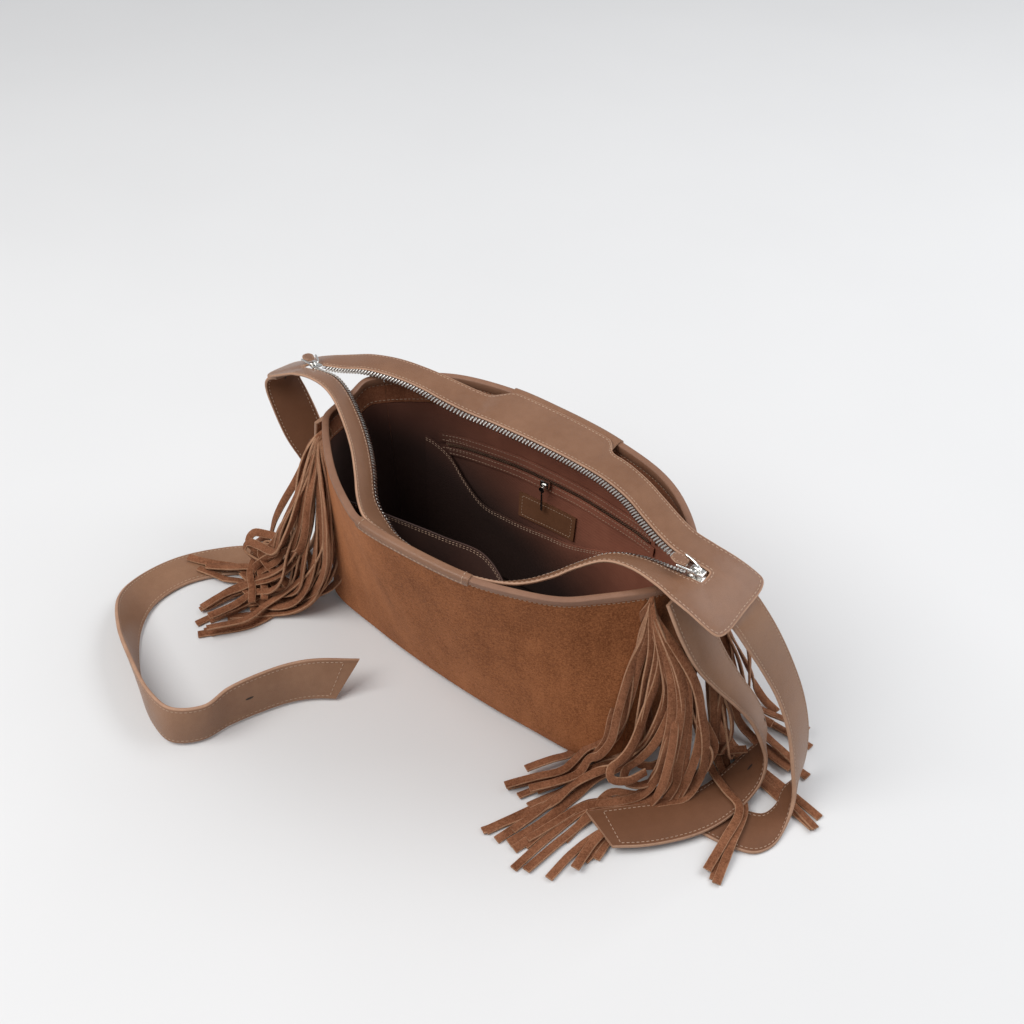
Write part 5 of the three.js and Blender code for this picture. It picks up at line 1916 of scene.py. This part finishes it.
    def _patch(self, sewing: Sewing) -> None:
        """The blank leather patch with stitches all round."""
        piece, front, out = self._on_back("patch_leather", (-35, 22, 82, 104), 0.0, 1.4, (50, 20), bulge=0.35)
        piece.settle([self.finishes.strap_inner], "leather", ["leather_patch"])
        self._around(sewing, front, out, 3, 2, 2.6)

    @staticmethod
    def _around(sewing: Sewing, front: Array, out: Array, i: int, j: int, pitch: float) -> None:
        """Sews a rectangle of stitches a few cells in from a piece's edge."""
        for line, face in (
            (front[i:-i, j], out[i:-i, j]), (front[i:-i, -1 - j], out[i:-i, -1 - j]),
            (front[i, j:-j], out[i, j:-j]), (front[-1 - i, j:-j], out[-1 - i, j:-j]),
        ):
            sewing.row(line, face, pitch)

    def _zip_pocket(self, sewing: Sewing) -> None:
        """The zipped pocket: tape in a sewn welt and two rows of fine teeth."""
        piece, front, out = self._on_back("pocket_tape_cloth", (-106, 95, 120, 132), 0.0, 0.7, (110, 14))
        piece.settle([self.finishes.pocket_tape], "zip_tape", ["pocket_zip_tape"])
        self._around(sewing, front + out * 0.6, out, 2, 1, 3.0)
        for label, z0, z1 in (("upper", 127.8, 136.0), ("lower", 116.0, 124.2)):
            span = (-112, 101, z0, z1)
            welt, face, way = self._on_back(f"pocket_welt_{label}", span, 0.75, 1.4, (110, 10), bulge=0.2)
            welt.settle([self.finishes.lining], "lining")
            for row in (2, 7):
                sewing.row(face[2:-2, row], way[2:-2, row], 3.0)
        corners = ((-0.45, -0.9), (0.45, -0.9), (0.45, 0.7), (-0.45, 0.7))
        tooth = np.array([(x * s, y * s, z) for z, s in ((-0.5, 1.0), (0.4, 0.8)) for x, y in corners])
        sides = [(0, 3, 2, 1), (4, 5, 6, 7), (0, 1, 5, 4), (1, 2, 6, 5), (2, 3, 7, 6), (3, 0, 4, 7)]
        us = self._shares(-104, 93, 104)
        places, turns = [], []
        for sign, z in ((-1, 125.4), (1, 126.6)):
            line = self.form.grid(Wall.BACK, us, np.array([self.form.height_share(z)]), self.depth + 1.7)[:, 0]
            ahead = tangents(line)
            face = unit(np.cross((0.0, 0.0, 1.0), ahead))
            places.append(line + ahead * 0.48 * sign)
            turns.append(np.stack([ahead * -sign, np.cross(face, ahead) * -sign, face], 2))
        verts, faces = repeated(tooth, sides, np.concatenate(places), np.concatenate(turns))
        teeth = mesh_piece("pocket_teeth_metal", verts, faces)
        teeth.settle([self.finishes.dark_metal], "nickel", ["pocket_zip_teeth"], angle=20.0)

    def _pocket_slider(self) -> None:
        """The pocket's small slider and its long pull."""
        low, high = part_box("pocket_slider")
        x, y, z = ((a + b) / 2 / MM for a, b in zip(low, high))
        body = block((8.6, 2.8, 6.6), (x, y + 0.9, z), 0.8)
        loop = block((4.6, 2.2, 2.6), (x, y - 1.2, z), 0.6)
        obj = join_as([body, loop], "pocket_slider_metal")
        nickel = [self.finishes.nickel]
        Piece(obj, "pocket_slider_body").settle(nickel, "nickel", ["pocket_slider"], angle=40.0)
        low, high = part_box("pocket_pull")
        x, y = (low[0] + high[0]) / 2 / MM, (low[1] + high[1]) / 2 / MM
        top, bottom = high[2] / MM, low[2] / MM
        deselect()
        bpy.ops.mesh.primitive_cylinder_add(
            vertices=24, radius=2.7 * MM, depth=1.1 * MM, location=(x * MM, y * MM, (top - 2.9) * MM),
            rotation=(math.pi / 2, 0, 0),
        )
        pull = bpy.context.object
        bpy.ops.object.transform_apply(location=True, rotation=True, scale=True)
        edit_faces(pull, lambda f: f.normal.z < -0.93)
        bpy.ops.mesh.extrude_region_move(TRANSFORM_OT_translate={"value": (0, 0, (bottom - top + 6.4) * MM)})
        bpy.ops.transform.resize(value=(1.6, 1, 0.2))
        bevel_all(0.2, 2)
        pull = join_as([pull], "pocket_pull_metal")
        Piece(pull, "pocket_pull_body").settle(nickel, "nickel", ["pocket_pull"], angle=40.0)

    def build(self) -> None:
        """Makes every piece inside the bag."""
        sewing = Sewing("inside_stitching", pitch=3.0, thread=0.45)
        self._back_slip(sewing)
        self._front_slip(sewing)
        self._patch(sewing)
        self._zip_pocket(sewing)
        self._pocket_slider()
        sewing.finish(self.finishes, slot="lining")
        log.info("inside done")


# ---------------- the studio


@dataclass
class Studio:
    """Camera, floor and lights."""

    azimuth: float = 36.0
    elevation: float = 41.5
    distance: float = 1.06
    target: tuple = (-0.010, 0.021, 0.127)
    lens: float = 47.46

    def _camera(self) -> None:
        """Sets up the camera."""
        data = bpy.data.cameras.new("camera")
        data.lens = self.lens
        data.sensor_width = 36.0
        data.clip_start = 0.01
        camera = linked("camera", data)
        a, e = math.radians(self.azimuth), math.radians(self.elevation)
        back = Vector((math.sin(a) * math.cos(e), -math.cos(a) * math.cos(e), math.sin(e)))
        camera.location = Vector(self.target) + back * self.distance
        camera.rotation_euler = back.to_track_quat("Z", "Y").to_euler()
        bpy.context.scene.camera = camera

    def _floor(self) -> None:
        """A wide pale floor."""
        deselect()
        bpy.ops.mesh.primitive_plane_add(size=14.0, location=(0, 0, 0))
        floor = bpy.context.object
        floor.name = "floor"
        shader = Shader("floor_paper")
        mottle = shader.noise(shader.object_place(), 3.0, 3.0)
        colour = shader.mixed(mottle, (0.68, 0.68, 0.685), (0.72, 0.72, 0.725))
        floor.data.materials.append(shader.close(Base_Color=colour, Roughness=0.9, Specular_IOR_Level=0.1))
        floor.select_set(False)

    def _light(self, name: str, place: tuple, size: float, power: float, colour: Colour) -> None:
        """A square soft light that faces the bag."""
        data = bpy.data.lights.new(name, "AREA")
        data.size = size
        data.energy = power
        data.color = colour
        light = linked(name, data)
        light.location = place
        light.rotation_euler = (Vector(place) - Vector((0, 0, 0.08))).to_track_quat("Z", "Y").to_euler()

    def build(self) -> None:
        """Sets up everything round the bag."""
        self._camera()
        self._floor()
        self._light("key", (-0.75, -1.25, 2.15), 1.7, 48.0, (1.0, 0.985, 0.96))
        self._light("window", (0.9, 1.3, 1.8), 1.6, 30.0, (0.97, 0.985, 1.0))
        world = bpy.data.worlds.new("studio")
        world.use_nodes = True
        background = world.node_tree.nodes["Background"]
        background.inputs["Color"].default_value = (0.96, 0.975, 1.0, 1.0)
        background.inputs["Strength"].default_value = 0.45
        bpy.context.scene.world = world
        bpy.context.scene.view_settings.view_transform = "Standard"


def main() -> None:
    """Builds the bag and the studio round it."""
    logging.basicConfig(level=logging.INFO, format="%(name)s: %(message)s")
    form = BagForm()
    finishes = Finishes()
    Studio().build()
    SoftShell(form, finishes).build()
    ZipBand(form, finishes).build()
    ZipSlider(finishes, "right", (172.5, -17.6, 193.4), math.pi, 0.0, 0.12, math.pi).build()
    ZipSlider(finishes, "left", (-206.5, 18, 184.5), -0.42, -0.3, 0.1, 0.0).build()
    Strap(finishes, "back_right_strap", StrapFace.OUTER_FIRST).build()
    Strap(finishes, "front_right_strap", StrapFace.OUTER_FIRST, slits=((0.36, 0.86), (0.60, 0.55))).build()
    Strap(finishes, "back_left_strap", StrapFace.INNER_FIRST, slits=((0.14, 0.55),)).build()
    Strap(finishes, "front_left_strap", StrapFace.BOTH_OUTER, slits=((0.83, 0.5),)).build()
    for name, paths, count, root, outward, seed, over in (
        ("front_right", FRONT_RIGHT_PATHS, 26, (149, -34, 177), (0.35, -0.94, 0), 11, None),
        ("back_right", BACK_RIGHT_PATHS, 18, (147, 21, 176), (0.9, 0.3, 0), 23, None),
        ("front_left", FRONT_LEFT_PATHS, 38, (-149, -30, 176), (-0.45, -0.89, 0), 37, "front_left_strap"),
        ("back_left", BACK_LEFT_PATHS, 14, (-151, 39, 178), (-0.6, 0.8, 0), 41, None),
    ):
        Fringe(finishes, f"{name}_fringe", paths, count, root, outward, seed, over).build()
    Inside(form, finishes).build()


if __name__ == "__main__":
    main()
